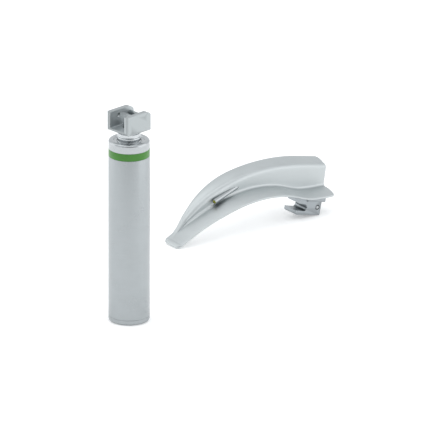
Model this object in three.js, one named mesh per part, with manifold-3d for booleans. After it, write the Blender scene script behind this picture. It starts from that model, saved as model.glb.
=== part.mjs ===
// Fibre-light laryngoscope, taken apart: a battery handle that stands on its base cap, and a curved
// blade that lies behind it. Millimetres, +Z up. The origin is the middle of the handle's base, and
// the head's channel runs along Y with its hinge pin towards +Y.
import * as THREE from "three";
import { mergeVertices } from "three/addons/utils/BufferGeometryUtils.js";
import Module from "manifold-3d";

const wasm = await Module();
wasm.setup();

// ---------------------------------------------------------------- driving dimensions

const seat = 0.3; // clearance between pieces that touch or screw together
const roundSides = 40; // facets round the handle
const innerSides = 28; // facets round the pieces inside it

const cell = { radius: 12.9, length: 50, edge: 1.2, nubRadius: 3.2, nubHeight: 1.5, count: 2 };
const tube = { play: 0.4, wall: 0.7, abovePartition: 2.1 };
const cap = {
  rim: 3.7,
  edgeRadius: 2.6,
  floor: 2.6,
  plugPlay: 0.35,
  plugWall: 1.35,
  plugHeight: 5.8,
  threadDepth: 0.3,
  threadPitch: 1.5,
  threads: 2,
};
const capSeal = { section: 0.4, grooveDepth: 0.75, aboveRim: 1.5 };
const springPlate = { radius: 9, thickness: 0.5 };
const contactSpring = { foot: 7.8, head: 3.4, height: 6.3, wire: 0.45, turns: 4 };
const contact = { headRadius: 3.5, headThickness: 0.8, stemRadius: 1.4, proud: 0.4 };
const bush = { thickness: 3.4, hole: 1.7 };
const greenRing = { height: 4.9 };
const collar = {
  height: 6.2,
  shoulderRadius: 2.4,
  rim: 3.4,
  topDip: 0.8,
  skirtPlay: 0.4,
  skirtWall: 0.7,
  webThickness: 4.1,
  chamber: 6.3,
};
const neck = {
  height: 6.7,
  groove: 6.9,
  bead: 8.3,
  beadRound: 0.7,
  beadFoot: 0.8,
  waist: 7.6,
  flare: 9.2,
  spigot: 8,
};
const head = {
  width: 20.4,
  length: 22.4,
  height: 13.3,
  channel: 13.6,
  floor: 2,
  edgeChamfer: 0.9,
  openEndRound: 1.1,
  pinEndRound: 5,
  footRound: 1.3,
};
const pin = { radius: 1.6, fromEnd: 3.5, blindDepth: 2.2 };
const dimple = { radius: 2.2, depth: 0.6 };
const lamp = {
  barrel: 3.9,
  flange: 5.6,
  flangeThickness: 1.4,
  stem: 2.5,
  travel: 1.2,
  pocket: 3.05,
  pocketDepth: 6,
  topRound: 0.5,
};
const led = { radius: 2.6, height: 2.4 };
const lens = { radius: 2.75, rim: 1.2 };
const lampSpring = { radius: 4.3, height: 5.1, wire: 0.4, turns: 3.5 };

const sheet = { thickness: 1.6, bend: 2.6, spatulaDrop: 2, tipDrop: 0.9, flangeRise: 1.5, rows: 38 };
const corner = { heel: 4.2, tip: 3 };
// Stations from heel to tip. low is the spatula's root [along, up], with the width of the spatula,
// and high is the top of the web [along, up], with the width of the flange.
const stations = [
  { low: [0, 13.8], spatula: 16, high: [-2.4, 28.9], flange: 12 },
  { low: [21, 15.8], spatula: 16, high: [22, 34.0], flange: 12.4 },
  { low: [40, 22.0], spatula: 16, high: [42, 36.1], flange: 12.4 },
  { low: [57, 24.3], spatula: 16, high: [60, 35.7], flange: 12.4 },
  { low: [76.5, 22.9], spatula: 15.6, high: [79, 32.0], flange: 12.2 },
  { low: [97, 17.0], spatula: 14.4, high: [98.5, 24.8], flange: 8.6 },
  { low: [112, 10.9], spatula: 14, high: [112.5, 15.5], flange: 5.2 },
  { low: [122, 5.4], spatula: 13.4, high: [122, 6.3], flange: 3.2 },
  { low: [129.5, 1.75], spatula: 13.2, high: [129.5, 2.2], flange: 3.6 },
];

const block = {
  place: [12.3, 0], // rear bottom edge: along and above the floor
  pitch: 12.5, // degrees, nose up, as the blade lies on its tip
  middle: 6.9,
  step: 9.4, // height of the shoulder that sits on the head's ears
  shoulderOverhang: 1.1,
  shoulderFrom: -2.8,
  shoulderTo: 12.9,
  edge: 0.8,
};
// The open jaw at the block's front: its seat takes the hinge pin, above a finger.
const hook = {
  seatToRear: 14.1,
  pinHeight: 4.4,
  slack: 0.15,
  fingerReach: 6.8,
  fingerRise: 0.4,
  fingerNose: 1.3,
  faceLean: 0.6,
  faceTop: 7.1,
  jawReach: 4,
  jawRise: 1.5,
};
const ball = { radius: 1.5, proud: 0.6, travel: 0.5, fromRear: 3.2, height: 5.4, bore: 1.7 };
const detentSpring = { radius: 0.85, wire: 0.2, turns: 6 };
const guide = { outer: 1.5, bore: 1.15, core: 0.9, clearance: 0.3, sides: 8, steps: 46 };
// The light guide's bends: in the block as [forward of the lamp, share of the step's height], then
// from the block's last bend as [forward, up], and last under the flange as [along, up].
const guideRun = {
  firstBend: [0.2, 0.35],
  lastBend: [1.6, 0.68],
  lastBendAside: 2.8,
  leaveBlock: [2.6, 1.6],
  leaveBlockAside: 7,
  reachWeb: [11, 9.5],
  offWeb: 3.7,
  underFlange: [44, 26.8],
  nearSlot: [60, 29.8],
  towardsSlot: 0.4,
  slopeFrom: [69, -1.5, 28.7],
  end: [92, 2.5, 23.8],
};

const bladeRest = { place: [-69.8, 248.7], turn: 262 }; // where the blade lies on the table, degrees

// ---------------------------------------------------------------- heights that follow

const tubeBore = cell.radius + tube.play;
const radius = tubeBore + tube.wall;
const plugRadius = tubeBore - cap.plugPlay;
const skirtRadius = tubeBore - collar.skirtPlay;
const skirtBore = skirtRadius - collar.skirtWall;
const plateFoot = cap.floor + seat;
const springFoot = plateFoot + springPlate.thickness + seat;
const cellsFoot = springFoot + contactSpring.height + seat;
const cellStep = cell.length + seat;
const contactFoot = cellsFoot + cell.count * cellStep;
const bushFoot = contactFoot + contact.headThickness + seat;
const bushTop = bushFoot + bush.thickness;
const tubeTop = bushTop + tube.abovePartition;
const ringFoot = tubeTop + seat;
const collarFoot = ringFoot + greenRing.height + seat;
const shoulderTop = collarFoot + collar.height;
const headFoot = shoulderTop + neck.height;
const channelFloor = headFoot + head.floor;
const earTop = headFoot + head.height;
const contactTop = bushTop + contact.proud;
const lampSpringFoot = bushTop + seat;
const flangeFoot = lampSpringFoot + lampSpring.height + seat;
const spigotFoot = flangeFoot + lamp.flangeThickness + seat;
// The block's foot hangs this high in the channel when the blade is locked on.
const lockedFoot = earTop + seat - block.step;
const lensTop = lockedFoot + lamp.travel;
const pinPlace = { y: head.length / 2 - pin.fromEnd, z: lockedFoot + hook.pinHeight };
const blockWidth = head.channel - 2 * seat;
// The handle's axis, as a distance forward of the locked block's rear.
const axisFromRear = hook.seatToRear - pinPlace.y;

// ---------------------------------------------------------------- shape helpers

const degrees = (angle) => THREE.MathUtils.degToRad(angle);

// A closed geometry as a solid that can be joined and cut.
function solid(geometry) {
  const bare = geometry.clone();
  bare.deleteAttribute("normal");
  bare.deleteAttribute("uv");
  const merged = mergeVertices(bare, 1e-4);
  const vertProperties = new Float32Array(merged.attributes.position.array);
  const triVerts = new Uint32Array(merged.index.array);
  const made = new wasm.Manifold(new wasm.Mesh({ numProp: 3, vertProperties, triVerts }));
  if (made.volume() >= 0) return made;
  triVerts.reverse();
  return new wasm.Manifold(new wasm.Mesh({ numProp: 3, vertProperties, triVerts }));
}

// A solid back as a geometry that three.js can draw.
function drawn(made) {
  const { vertProperties, triVerts } = made.getMesh();
  const geometry = new THREE.BufferGeometry();
  geometry.setAttribute("position", new THREE.BufferAttribute(vertProperties, 3));
  geometry.setIndex(new THREE.BufferAttribute(triVerts, 1));
  geometry.computeVertexNormals();
  return geometry;
}

// A profile of [radius, height] points turned about Z.
function turned(profile, sides = roundSides) {
  const points = profile.map(([r, z]) => new THREE.Vector2(r, z));
  return solid(new THREE.LatheGeometry(points, sides).rotateX(Math.PI / 2));
}

// Points of an arc about (x, y), from one angle to another in degrees.
function arc(x, y, r, from, to, count = 5) {
  return Array.from({ length: count + 1 }, (_, i) => {
    const angle = degrees(from + ((to - from) * i) / count);
    return [x + r * Math.cos(angle), y + r * Math.sin(angle)];
  });
}

// An outline of [x, y, radius] corners, each rounded by its radius.
function outline(corners) {
  const points = corners.map(([x, y]) => new THREE.Vector2(x, y));
  const shape = new THREE.Shape();
  corners.forEach(([, , round = 0], i) => {
    const here = points[i];
    const before = points[(i + points.length - 1) % points.length].clone().sub(here);
    const after = points[(i + 1) % points.length].clone().sub(here);
    const reach = Math.min(round, before.length() * 0.49, after.length() * 0.49);
    const enter = here.clone().addScaledVector(before.normalize(), reach);
    const leave = here.clone().addScaledVector(after.normalize(), reach);
    if (i === 0) shape.moveTo(enter.x, enter.y);
    else shape.lineTo(enter.x, enter.y);
    if (reach > 0) shape.quadraticCurveTo(here.x, here.y, leave.x, leave.y);
  });
  shape.closePath();
  return shape;
}

// The outline pushed through along a third axis: "x" takes it as (y, z), "y" as (x, z), "z" as (x, y).
function prism(shape, axis, from, to, curveSegments = 4) {
  const depth = to - from;
  const geometry = new THREE.ExtrudeGeometry(shape, { depth, bevelEnabled: false, curveSegments });
  geometry.translate(0, 0, from);
  const turn = new THREE.Matrix4();
  if (axis === "x") turn.set(0, 0, 1, 0, 1, 0, 0, 0, 0, 1, 0, 0, 0, 0, 0, 1);
  if (axis === "y") turn.set(1, 0, 0, 0, 0, 0, 1, 0, 0, 1, 0, 0, 0, 0, 0, 1);
  return solid(geometry.applyMatrix4(turn));
}

function rectangle(x0, y0, x1, y1, round = 0) {
  return outline([
    [x0, y0, round],
    [x1, y0, round],
    [x1, y1, round],
    [x0, y1, round],
  ]);
}

// A rod along X or Y through a point.
function rod(axis, r, centre, from, to, sides = 24) {
  const middle = (from + to) / 2;
  const geometry = new THREE.CylinderGeometry(r, r, to - from, sides);
  if (axis === "x") geometry.rotateZ(-Math.PI / 2).translate(middle, centre[0], centre[1]);
  else geometry.translate(centre[0], middle, centre[1]);
  return solid(geometry);
}

function sphere(r, x, y, z, across = 20, down = 14) {
  return solid(new THREE.SphereGeometry(r, across, down).translate(x, y, z));
}

// A round section of the given radius, with a bore if one is named.
function ringSection(r, sides, bore = 0) {
  const circle = (size) => arc(0, 0, size, 0, 360, sides).slice(0, -1).map(([x, y]) => new THREE.Vector2(x, y));
  const shape = new THREE.Shape(circle(r));
  if (bore > 0) shape.holes.push(new THREE.Path(circle(bore)));
  return shape;
}

function swept(path, shape, steps) {
  return new THREE.ExtrudeGeometry(shape, { extrudePath: path, steps, bevelEnabled: false });
}

// A coil about Z whose radius changes evenly from foot to head, with its end turns lying closer.
class Coil extends THREE.Curve {
  constructor({ foot, head, height, turns, from }) {
    super();
    Object.assign(this, { foot, head, height, turns, from });
  }

  getPoint(t, target = new THREE.Vector3()) {
    const angle = t * this.turns * 2 * Math.PI;
    const r = THREE.MathUtils.lerp(this.foot, this.head, t);
    return target.set(r * Math.cos(angle), r * Math.sin(angle), this.from + t * this.height);
  }
}

// A wire coil between two heights, which are those of the wire's own surface.
function coil({ foot, head, height, turns, wire }, from, sides = 6, perTurn = 14) {
  const path = new Coil({ foot, head, turns, from: from + wire, height: height - 2 * wire });
  return solid(swept(path, ringSection(wire, sides), Math.round(turns * perTurn)));
}

const finish = (color, roughness, metalness) => () =>
  new THREE.MeshStandardMaterial({ color, roughness, metalness });
const satinSteel = finish(0xb9bfc2, 0.42, 1);
const brightSteel = finish(0xd4d9dc, 0.16, 1);
const springSteel = finish(0x9aa0a4, 0.3, 1);
const greenAnodised = finish(0x58a42c, 0.4, 0.3);
const nickel = finish(0xcfd2d2, 0.22, 1);
const brass = finish(0xc2a04e, 0.3, 1);
const whitePlastic = finish(0xe8e6de, 0.5, 0);
const rubber = finish(0x1c1c1c, 0.85, 0);
const cellJacket = finish(0x3a4a63, 0.45, 0.2);
const clearGlass = finish(0xdfe9ee, 0.05, 0);
const ledBody = finish(0xf3ecc4, 0.35, 0);
const fibreGlass = finish(0x5d6420, 0.25, 0);

function piece(name, made, material) {
  const mesh = new THREE.Mesh(drawn(made), material());
  mesh.name = name;
  return mesh;
}

// ---------------------------------------------------------------- handle: tube, cells and cap

function batteryTube() {
  const foot = cap.rim + seat;
  const profile = [
    [tubeBore, foot],
    [radius, foot],
    [radius, tubeTop],
    [tubeBore, tubeTop],
    [tubeBore, foot],
  ];
  return piece("battery_tube", turned(profile), satinSteel);
}

function battery(index) {
  const foot = cellsFoot + index * cellStep;
  const can = foot + cell.length - cell.nubHeight;
  const profile = [
    [0, foot],
    [cell.radius - cell.edge, foot],
    [cell.radius, foot + cell.edge],
    [cell.radius, can - cell.edge],
    [cell.radius - cell.edge, can],
    [cell.nubRadius, can],
    [cell.nubRadius, can + cell.nubHeight],
    [0, can + cell.nubHeight],
  ];
  return piece(`battery_${index + 1}`, turned(profile, innerSides), cellJacket);
}

function baseCap() {
  const plugTop = cap.rim + cap.plugHeight;
  const plugBore = plugRadius - cap.plugWall;
  const grooveRadius = plugRadius - capSeal.grooveDepth;
  const grooveHalf = capSeal.section + seat;
  const groove = cap.rim + capSeal.aboveRim;
  const threadFoot = groove + grooveHalf + seat;
  const threads = Array.from({ length: cap.threads }, (_, i) => {
    const foot = threadFoot + i * cap.threadPitch;
    const half = cap.threadPitch / 2;
    const root = plugRadius - cap.threadDepth;
    return [
      [root, foot],
      [plugRadius, foot + half * 0.6],
      [plugRadius, foot + half],
      [root, foot + half * 1.6],
    ];
  }).flat();
  const profile = [
    [0, 0],
    ...arc(radius - cap.edgeRadius, cap.edgeRadius, cap.edgeRadius, -90, 0, 6),
    [radius, cap.rim],
    [plugRadius, cap.rim],
    [plugRadius, groove - grooveHalf],
    [grooveRadius, groove - grooveHalf],
    [grooveRadius, groove + grooveHalf],
    [plugRadius - cap.threadDepth, groove + grooveHalf],
    ...threads,
    [plugRadius - cap.threadDepth, plugTop],
    [plugBore, plugTop],
    [plugBore, cap.floor],
    [0, cap.floor],
  ];
  return piece("base_cap", turned(profile), satinSteel);
}

function sealRing() {
  const middle = plugRadius - capSeal.grooveDepth + seat / 2 + capSeal.section;
  const profile = arc(middle, cap.rim + capSeal.aboveRim, capSeal.section, 0, 360, 8);
  return piece("cap_seal", turned(profile, roundSides), rubber);
}

function springPlateDisc() {
  const top = plateFoot + springPlate.thickness;
  const profile = [
    [0, plateFoot],
    [springPlate.radius, plateFoot],
    [springPlate.radius, top],
    [0, top],
  ];
  return piece("spring_plate", turned(profile, innerSides), nickel);
}

function cellSpring() {
  return piece("contact_spring", coil(contactSpring, springFoot), springSteel);
}

// ---------------------------------------------------------------- handle: contact, ring and collar

function topContact() {
  const headTop = contactFoot + contact.headThickness;
  const profile = [
    [0, contactFoot],
    [contact.headRadius, contactFoot],
    [contact.headRadius, headTop],
    [contact.stemRadius, headTop],
    [contact.stemRadius, contactTop],
    [0, contactTop],
  ];
  return piece("top_contact", turned(profile, innerSides), brass);
}

function contactBush() {
  const profile = [
    [bush.hole, bushFoot],
    [skirtBore - seat, bushFoot],
    [skirtBore - seat, bushTop],
    [bush.hole, bushTop],
    [bush.hole, bushFoot],
  ];
  return piece("contact_bush", turned(profile, innerSides), whitePlastic);
}

function colourRing() {
  const top = ringFoot + greenRing.height;
  const profile = [
    [skirtRadius + seat, ringFoot],
    [radius, ringFoot],
    [radius, top],
    [skirtRadius + seat, top],
    [skirtRadius + seat, ringFoot],
  ];
  return piece("green_ring", turned(profile), greenAnodised);
}

function topCollar() {
  const webTop = spigotFoot - seat;
  const webFoot = webTop - collar.webThickness;
  const spigotBore = neck.spigot + seat;
  const shoulder = shoulderTop - collar.shoulderRadius;
  const profile = [
    [skirtBore, bushFoot],
    [skirtRadius, bushFoot],
    [skirtRadius, collarFoot],
    [radius, collarFoot],
    ...arc(radius - collar.shoulderRadius, shoulder, collar.shoulderRadius, 0, 90, 6),
    [radius - collar.rim, shoulderTop - collar.topDip],
    [spigotBore, shoulderTop - collar.topDip],
    [spigotBore, webTop],
    [collar.chamber, webTop],
    [collar.chamber, webFoot],
    [skirtBore, webFoot],
    [skirtBore, bushFoot],
  ];
  return piece("top_collar", turned(profile), satinSteel);
}

// ---------------------------------------------------------------- handle: hook-on head

function neckSolid() {
  const dish = shoulderTop - collar.topDip;
  const beadFoot = shoulderTop + neck.beadFoot;
  const { beadRound } = neck;
  const profile = [
    [0, spigotFoot],
    [neck.spigot, spigotFoot],
    [neck.spigot, dish - seat],
    [neck.groove, dish],
    [neck.groove, beadFoot],
    ...arc(neck.bead - beadRound, beadFoot + beadRound, beadRound, -70, 70, 4),
    [neck.waist, beadFoot + 2.5 * beadRound],
    [neck.waist + seat, headFoot - 2 * beadRound],
    [neck.flare, headFoot + seat / 2],
    [neck.flare, headFoot + head.floor / 2],
    [0, headFoot + head.floor / 2],
  ];
  return turned(profile, 40);
}

// The ears and floor in side view, cut by their plan so that the upright edges are chamfered.
function headSolid() {
  const end = head.length / 2;
  const side = outline([
    [-end, headFoot, head.footRound],
    [end, headFoot, head.footRound],
    [end, earTop, head.pinEndRound],
    [-end, earTop, head.openEndRound],
  ]);
  const half = head.width / 2;
  const c = head.edgeChamfer;
  const plan = outline([
    [-half + c, -end],
    [half - c, -end],
    [half, -end + c],
    [half, end - c],
    [half - c, end],
    [-half + c, end],
    [-half, end - c],
    [-half, -end + c],
  ]);
  const body = prism(side, "x", -half, half, 6);
  const trimmed = body.intersect(prism(plan, "z", headFoot - 1, earTop + 1));
  const open = head.channel / 2;
  const channel = rectangle(-open, channelFloor, open, earTop + 1, 0.4);
  return trimmed.subtract(prism(channel, "y", -end - 1, end + 1, 2));
}

function hookHead() {
  const bore = lamp.barrel + seat;
  const boreProfile = [
    [0, spigotFoot - 1],
    [bore, spigotFoot - 1],
    [bore, channelFloor + 1],
    [0, channelFloor + 1],
  ];
  const pinHole = pin.radius + 0.05;
  const blind = head.channel / 2 + pin.blindDepth + seat;
  const along = ball.fromRear - axisFromRear;
  const up = lockedFoot + ball.height;
  let made = headSolid().add(neckSolid());
  made = made.subtract(turned(boreProfile, 24));
  made = made.subtract(rod("x", pinHole, [pinPlace.y, pinPlace.z], -head.width / 2 - 1, blind));
  for (const side of [-1, 1]) {
    const out = side * (head.channel / 2 + dimple.depth - dimple.radius);
    made = made.subtract(sphere(dimple.radius, out, along, up, 16, 10));
  }
  return piece("hook_head", made, satinSteel);
}

function hingePin() {
  const from = -head.width / 2 + 0.2;
  const to = head.channel / 2 + pin.blindDepth;
  return piece("hinge_pin", rod("x", pin.radius, [pinPlace.y, pinPlace.z], from, to), brightSteel);
}

// ---------------------------------------------------------------- handle: lamp that the blade presses

function lampCartridge() {
  const stemFoot = contactTop + lamp.travel + seat;
  const flangeTop = flangeFoot + lamp.flangeThickness;
  const top = lensTop - 0.4;
  const pocketFoot = lensTop - lamp.pocketDepth;
  const profile = [
    [0, stemFoot],
    [lamp.stem, stemFoot],
    [lamp.stem, flangeFoot],
    [lamp.flange, flangeFoot],
    [lamp.flange, flangeTop],
    [lamp.barrel, flangeTop],
    [lamp.barrel, top - lamp.topRound],
    [lamp.barrel - lamp.topRound, top],
    [lamp.pocket, top],
    [lamp.pocket, pocketFoot],
    [0, pocketFoot],
  ];
  return piece("lamp_cartridge", turned(profile, innerSides), brightSteel);
}

function ledLamp() {
  const foot = lensTop - lamp.pocketDepth + seat;
  const top = foot + led.height;
  const profile = [
    [0, foot],
    [led.radius, foot],
    [led.radius, top - 0.6],
    ...arc(led.radius - 0.8, top - 0.8, 0.8, 15, 90, 3),
    [0, top],
  ];
  return piece("led_lamp", turned(profile, 24), ledBody);
}

function lampLens() {
  const foot = lensTop - lamp.pocketDepth + led.height + 2 * seat;
  const rimTop = lensTop - lens.rim;
  const dome = lensTop - rimTop;
  const curve = Array.from({ length: 6 }, (_, i) => {
    const share = i / 5;
    return [lens.radius * Math.cos((share * Math.PI) / 2), rimTop + dome * Math.sin((share * Math.PI) / 2)];
  });
  const profile = [[0, foot], [lens.radius, foot], ...curve.slice(0, -1), [0, lensTop]];
  return piece("lamp_lens", turned(profile, 24), clearGlass);
}

function pressSpring() {
  const shape = { ...lampSpring, foot: lampSpring.radius, head: lampSpring.radius };
  return piece("lamp_spring", coil(shape, lampSpringFoot), springSteel);
}

// ---------------------------------------------------------------- blade: bent sheet

const rail = (pick) => new THREE.CatmullRomCurve3(stations.map(pick), false, "centripetal");
const lowRail = rail(({ low, spatula }) => new THREE.Vector3(low[0], spatula, low[1]));
const highRail = rail(({ high, flange }) => new THREE.Vector3(high[0], flange, high[1]));
const bladeLength = stations.at(-1).low[0];

// How much a rounded corner takes off a width, at a distance from the end.
function cornerCut(distance, round) {
  if (distance >= round) return 0;
  return round - Math.sqrt(Math.max(0, round * round - (round - distance) ** 2));
}

// The middle line of the sheet across the blade at one station, as [across, up] from the spatula's
// root: flange, bend, web, bend and spatula.
function sectionLine(t) {
  const low = lowRail.getPoint(t);
  const high = highRail.getPoint(t);
  const height = Math.hypot(high.x - low.x, high.z - low.z);
  const bend = Math.min(sheet.bend, height * 0.45);
  const heelCut = cornerCut(low.x - stations[0].low[0], corner.heel);
  const tipCut = cornerCut(bladeLength - low.x, corner.tip);
  const web = -sheet.thickness / 2;
  const flange = Math.max(high.y - heelCut - tipCut, bend + 0.6);
  const spatula = low.y - heelCut - tipCut;
  const fade = THREE.MathUtils.smoothstep(bladeLength - low.x, 0, 45);
  const drop = THREE.MathUtils.lerp(sheet.tipDrop, sheet.spatulaDrop, fade);
  const line = [];
  for (const share of [1, 0.75, 0.5, 0.25, 0]) {
    const across = THREE.MathUtils.lerp(web - bend, -flange, share);
    line.push([across, height + fade * sheet.flangeRise * Math.sin((share * Math.PI) / 2)]);
  }
  line.push(...arc(web - bend, height - bend, bend, 90, 0, 4).slice(1));
  line.push([web, height / 2]);
  line.push(...arc(web + bend, bend, bend, 180, 270, 4));
  for (const share of [0.25, 0.5, 0.75, 1]) {
    const across = THREE.MathUtils.lerp(web + bend, spatula, share);
    line.push([across, -drop * share * share]);
  }
  return { low, rise: high.clone().sub(low).setY(0).normalize(), line };
}

// The sheet is a flat box bent to its sections: along the blade, across it, and through its thickness.
function sheetSolid(thickness = sheet.thickness) {
  const across = sectionLine(0).line.length - 1;
  const box = new THREE.BoxGeometry(1, 1, 1, sheet.rows, across, 1);
  const place = box.attributes.position;
  for (let i = 0; i < place.count; i++) {
    const u = place.getX(i) + 0.5;
    const crowded = u - (0.75 * Math.sin(2 * Math.PI * u)) / (2 * Math.PI);
    const { low, rise, line } = sectionLine(THREE.MathUtils.clamp(crowded, 0, 1));
    const k = Math.round((place.getY(i) + 0.5) * across);
    const before = line[Math.max(k - 1, 0)];
    const after = line[Math.min(k + 1, across)];
    const along = new THREE.Vector2(after[0] - before[0], after[1] - before[1]).normalize();
    const out = place.getZ(i) * thickness;
    const y = line[k][0] - along.y * out;
    const up = line[k][1] + along.x * out;
    place.setXYZ(i, low.x + rise.x * up, y, low.z + rise.z * up);
  }
  return solid(box);
}

// ---------------------------------------------------------------- blade: light guide

const tilt = degrees(block.pitch);
const inBlock = (u, w) => [
  block.place[0] + u * Math.cos(tilt) - w * Math.sin(tilt),
  block.place[1] + w * Math.cos(tilt) + u * Math.sin(tilt),
];

// From the block's foot up and out of its far side, along the web under the flange, then through
// the web's slot to the lit end.
function guideRoute() {
  const [footX, footZ] = inBlock(axisFromRear, guide.clearance);
  const bend = ([forward, share]) => inBlock(axisFromRear + forward, block.step * share);
  const [riseX, riseZ] = bend(guideRun.firstBend);
  const [turnX, turnZ] = bend(guideRun.lastBend);
  const pastTurn = (y, [forward, up]) => new THREE.Vector3(turnX + forward, y, turnZ + up);
  const along = (y, [x, z]) => new THREE.Vector3(x, y, z);
  const behind = -guideRun.offWeb;
  const leave = new THREE.Vector3(...guideRun.slopeFrom);
  const end = new THREE.Vector3(...guideRun.end);
  return new THREE.CatmullRomCurve3(
    [
      new THREE.Vector3(footX, block.middle, footZ),
      new THREE.Vector3(riseX, block.middle, riseZ),
      new THREE.Vector3(turnX, block.middle - guideRun.lastBendAside, turnZ),
      pastTurn(block.middle - guideRun.leaveBlockAside, guideRun.leaveBlock),
      pastTurn(behind, guideRun.reachWeb),
      along(behind, guideRun.underFlange),
      along(behind + guideRun.towardsSlot, guideRun.nearSlot),
      leave,
      leave.clone().lerp(end, 0.5),
      end,
    ],
    false,
    "centripetal",
  );
}

const route = guideRoute();
const guideSweep = (r, bore = 0) => solid(swept(route, ringSection(r, guide.sides, bore), guide.steps));
const guideRoom = guideSweep(guide.outer + guide.clearance);

function lightGuideTube() {
  return piece("light_guide_tube", guideSweep(guide.outer, guide.bore), brightSteel);
}

function fibreBundle() {
  return piece("fibre_bundle", guideSweep(guide.core), fibreGlass);
}

function bladeSheet() {
  return piece("blade", sheetSolid().subtract(guideRoom), satinSteel);
}

// ---------------------------------------------------------------- blade: hook-on block

// The block's side outline in its own frame: forward from its rear edge, and up from its foot.
function blockSide() {
  const slot = pin.radius + hook.slack;
  const seatU = hook.seatToRear;
  const fingerTop = hook.pinHeight - slot;
  const tip = seatU + hook.fingerReach;
  const points = [
    [0, 0],
    [tip - hook.fingerNose, 0],
    [tip, hook.fingerNose],
    [tip, fingerTop + hook.fingerRise],
    ...arc(seatU, hook.pinHeight, slot, -90, -180, 5),
    [seatU - slot + hook.faceLean, hook.faceTop],
    [seatU + hook.jawReach, hook.faceTop + hook.jawRise],
    [seatU + hook.jawReach, block.step * 3],
    [0, block.step * 3],
  ];
  return new THREE.Shape(points.map(([u, w]) => new THREE.Vector2(u, w)));
}

// Lowers a solid from the block's own frame to where the block sits under the blade.
const placeBlock = (made) =>
  made
    .rotate([0, -block.pitch, 0])
    .translate([block.place[0], block.middle, block.place[1]]);

function hookBlock() {
  const half = blockWidth / 2;
  const wide = half + block.shoulderOverhang;
  const lower = prism(blockSide(), "y", -half, half);
  const plan = outline([
    [0, -half, block.edge],
    [hook.seatToRear + hook.fingerReach + 1, -half],
    [hook.seatToRear + hook.fingerReach + 1, half],
    [0, half, block.edge],
  ]);
  const shoulderPlan = outline([
    [block.shoulderFrom, -wide, 2],
    [block.shoulderTo, -wide, 0.6],
    [block.shoulderTo, wide, 0.6],
    [block.shoulderFrom, wide, 2],
  ]);
  let made = lower.intersect(prism(plan, "z", -1, block.step * 4));
  made = made.add(prism(shoulderPlan, "z", block.step, block.step * 3));
  made = made.subtract(rod("y", ball.bore, [ball.fromRear, ball.height], -half - 1, half + 1, 20));
  const inlet = guide.outer + guide.clearance;
  const inletProfile = [
    [0, -1],
    [inlet, -1],
    [inlet, 1],
    [0, 1],
  ];
  made = made.subtract(turned(inletProfile, 16).translate([axisFromRear, 0, 0]));
  made = placeBlock(made);
  // The top follows the sheet's underside.
  const above = sheetSolid(sheet.thickness + 2 * seat);
  const parts = made.subtract(above).subtract(guideRoom).decompose();
  parts.sort((a, b) => a.boundingBox().min[2] - b.boundingBox().min[2]);
  return piece("hook_block", parts[0], satinSteel);
}

function detentBall(name, side) {
  const out = side * (blockWidth / 2 + ball.proud - ball.radius);
  const made = placeBlock(sphere(ball.radius, ball.fromRear, out, ball.height, 18, 12));
  return piece(name, made, brightSteel);
}

function ballSpring() {
  const room = blockWidth + 2 * ball.proud - 4 * ball.radius - 2 * (ball.travel + seat);
  const shape = { ...detentSpring, foot: detentSpring.radius, head: detentSpring.radius, height: room };
  const upright = coil(shape, -room / 2, 6, 10);
  const lying = upright.rotate([90, 0, 0]).translate([ball.fromRear, 0, ball.height]);
  return piece("detent_spring", placeBlock(lying), springSteel);
}

// ---------------------------------------------------------------- assembly

function group(...meshes) {
  const made = new THREE.Group();
  made.add(...meshes);
  return made;
}

const cells = Array.from({ length: cell.count }, (_, index) => battery(index));
const handle = group(
  batteryTube(),
  ...cells,
  baseCap(),
  sealRing(),
  springPlateDisc(),
  cellSpring(),
  topContact(),
  contactBush(),
  colourRing(),
  topCollar(),
  hookHead(),
  hingePin(),
  lampCartridge(),
  ledLamp(),
  lampLens(),
  pressSpring(),
);

const blade = group(
  bladeSheet(),
  hookBlock(),
  lightGuideTube(),
  fibreBundle(),
  detentBall("detent_ball_near", 1),
  detentBall("detent_ball_far", -1),
  ballSpring(),
);
blade.rotation.z = degrees(bladeRest.turn);
blade.position.set(...bladeRest.place, 0);

const laryngoscope = group(handle, blade);
laryngoscope.name = "laryngoscope";

export default laryngoscope;
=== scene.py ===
"""Fibre-light laryngoscope, taken apart: a handle that stands on its cap, and a curved blade.

Pieces are built in millimetres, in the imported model's own frame, and become metres in their meshes.
The handle stands at the origin. The blade is built in its own frame, along X from heel to tip with
its spatula towards +Y, and is then turned to where it lies.
"""

import sys

import logging
import math
from collections.abc import Iterable, Sequence
from dataclasses import dataclass, field
from enum import Enum
from functools import cache
from typing import Any

import bmesh
import bpy
import numpy as np
from mathutils import Matrix, Vector


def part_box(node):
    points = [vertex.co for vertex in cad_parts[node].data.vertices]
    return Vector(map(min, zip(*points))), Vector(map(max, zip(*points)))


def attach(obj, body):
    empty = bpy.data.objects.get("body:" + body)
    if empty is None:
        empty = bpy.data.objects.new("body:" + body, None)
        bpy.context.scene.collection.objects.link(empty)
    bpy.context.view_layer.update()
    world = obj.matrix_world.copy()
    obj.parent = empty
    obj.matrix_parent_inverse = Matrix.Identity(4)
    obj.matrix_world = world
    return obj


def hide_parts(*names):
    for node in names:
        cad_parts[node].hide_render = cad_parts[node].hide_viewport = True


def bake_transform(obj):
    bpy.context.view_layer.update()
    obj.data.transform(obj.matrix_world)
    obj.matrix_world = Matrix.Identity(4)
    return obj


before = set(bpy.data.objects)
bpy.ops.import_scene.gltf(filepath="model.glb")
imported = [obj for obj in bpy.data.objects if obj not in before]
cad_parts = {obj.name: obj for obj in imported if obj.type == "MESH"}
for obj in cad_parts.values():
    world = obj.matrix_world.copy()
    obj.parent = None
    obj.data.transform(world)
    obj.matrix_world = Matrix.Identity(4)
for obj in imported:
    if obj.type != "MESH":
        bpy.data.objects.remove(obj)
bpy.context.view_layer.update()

MM = 0.001
TINY = 1e-6
SIDES = 144
FINE_SIDES = 64
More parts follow.
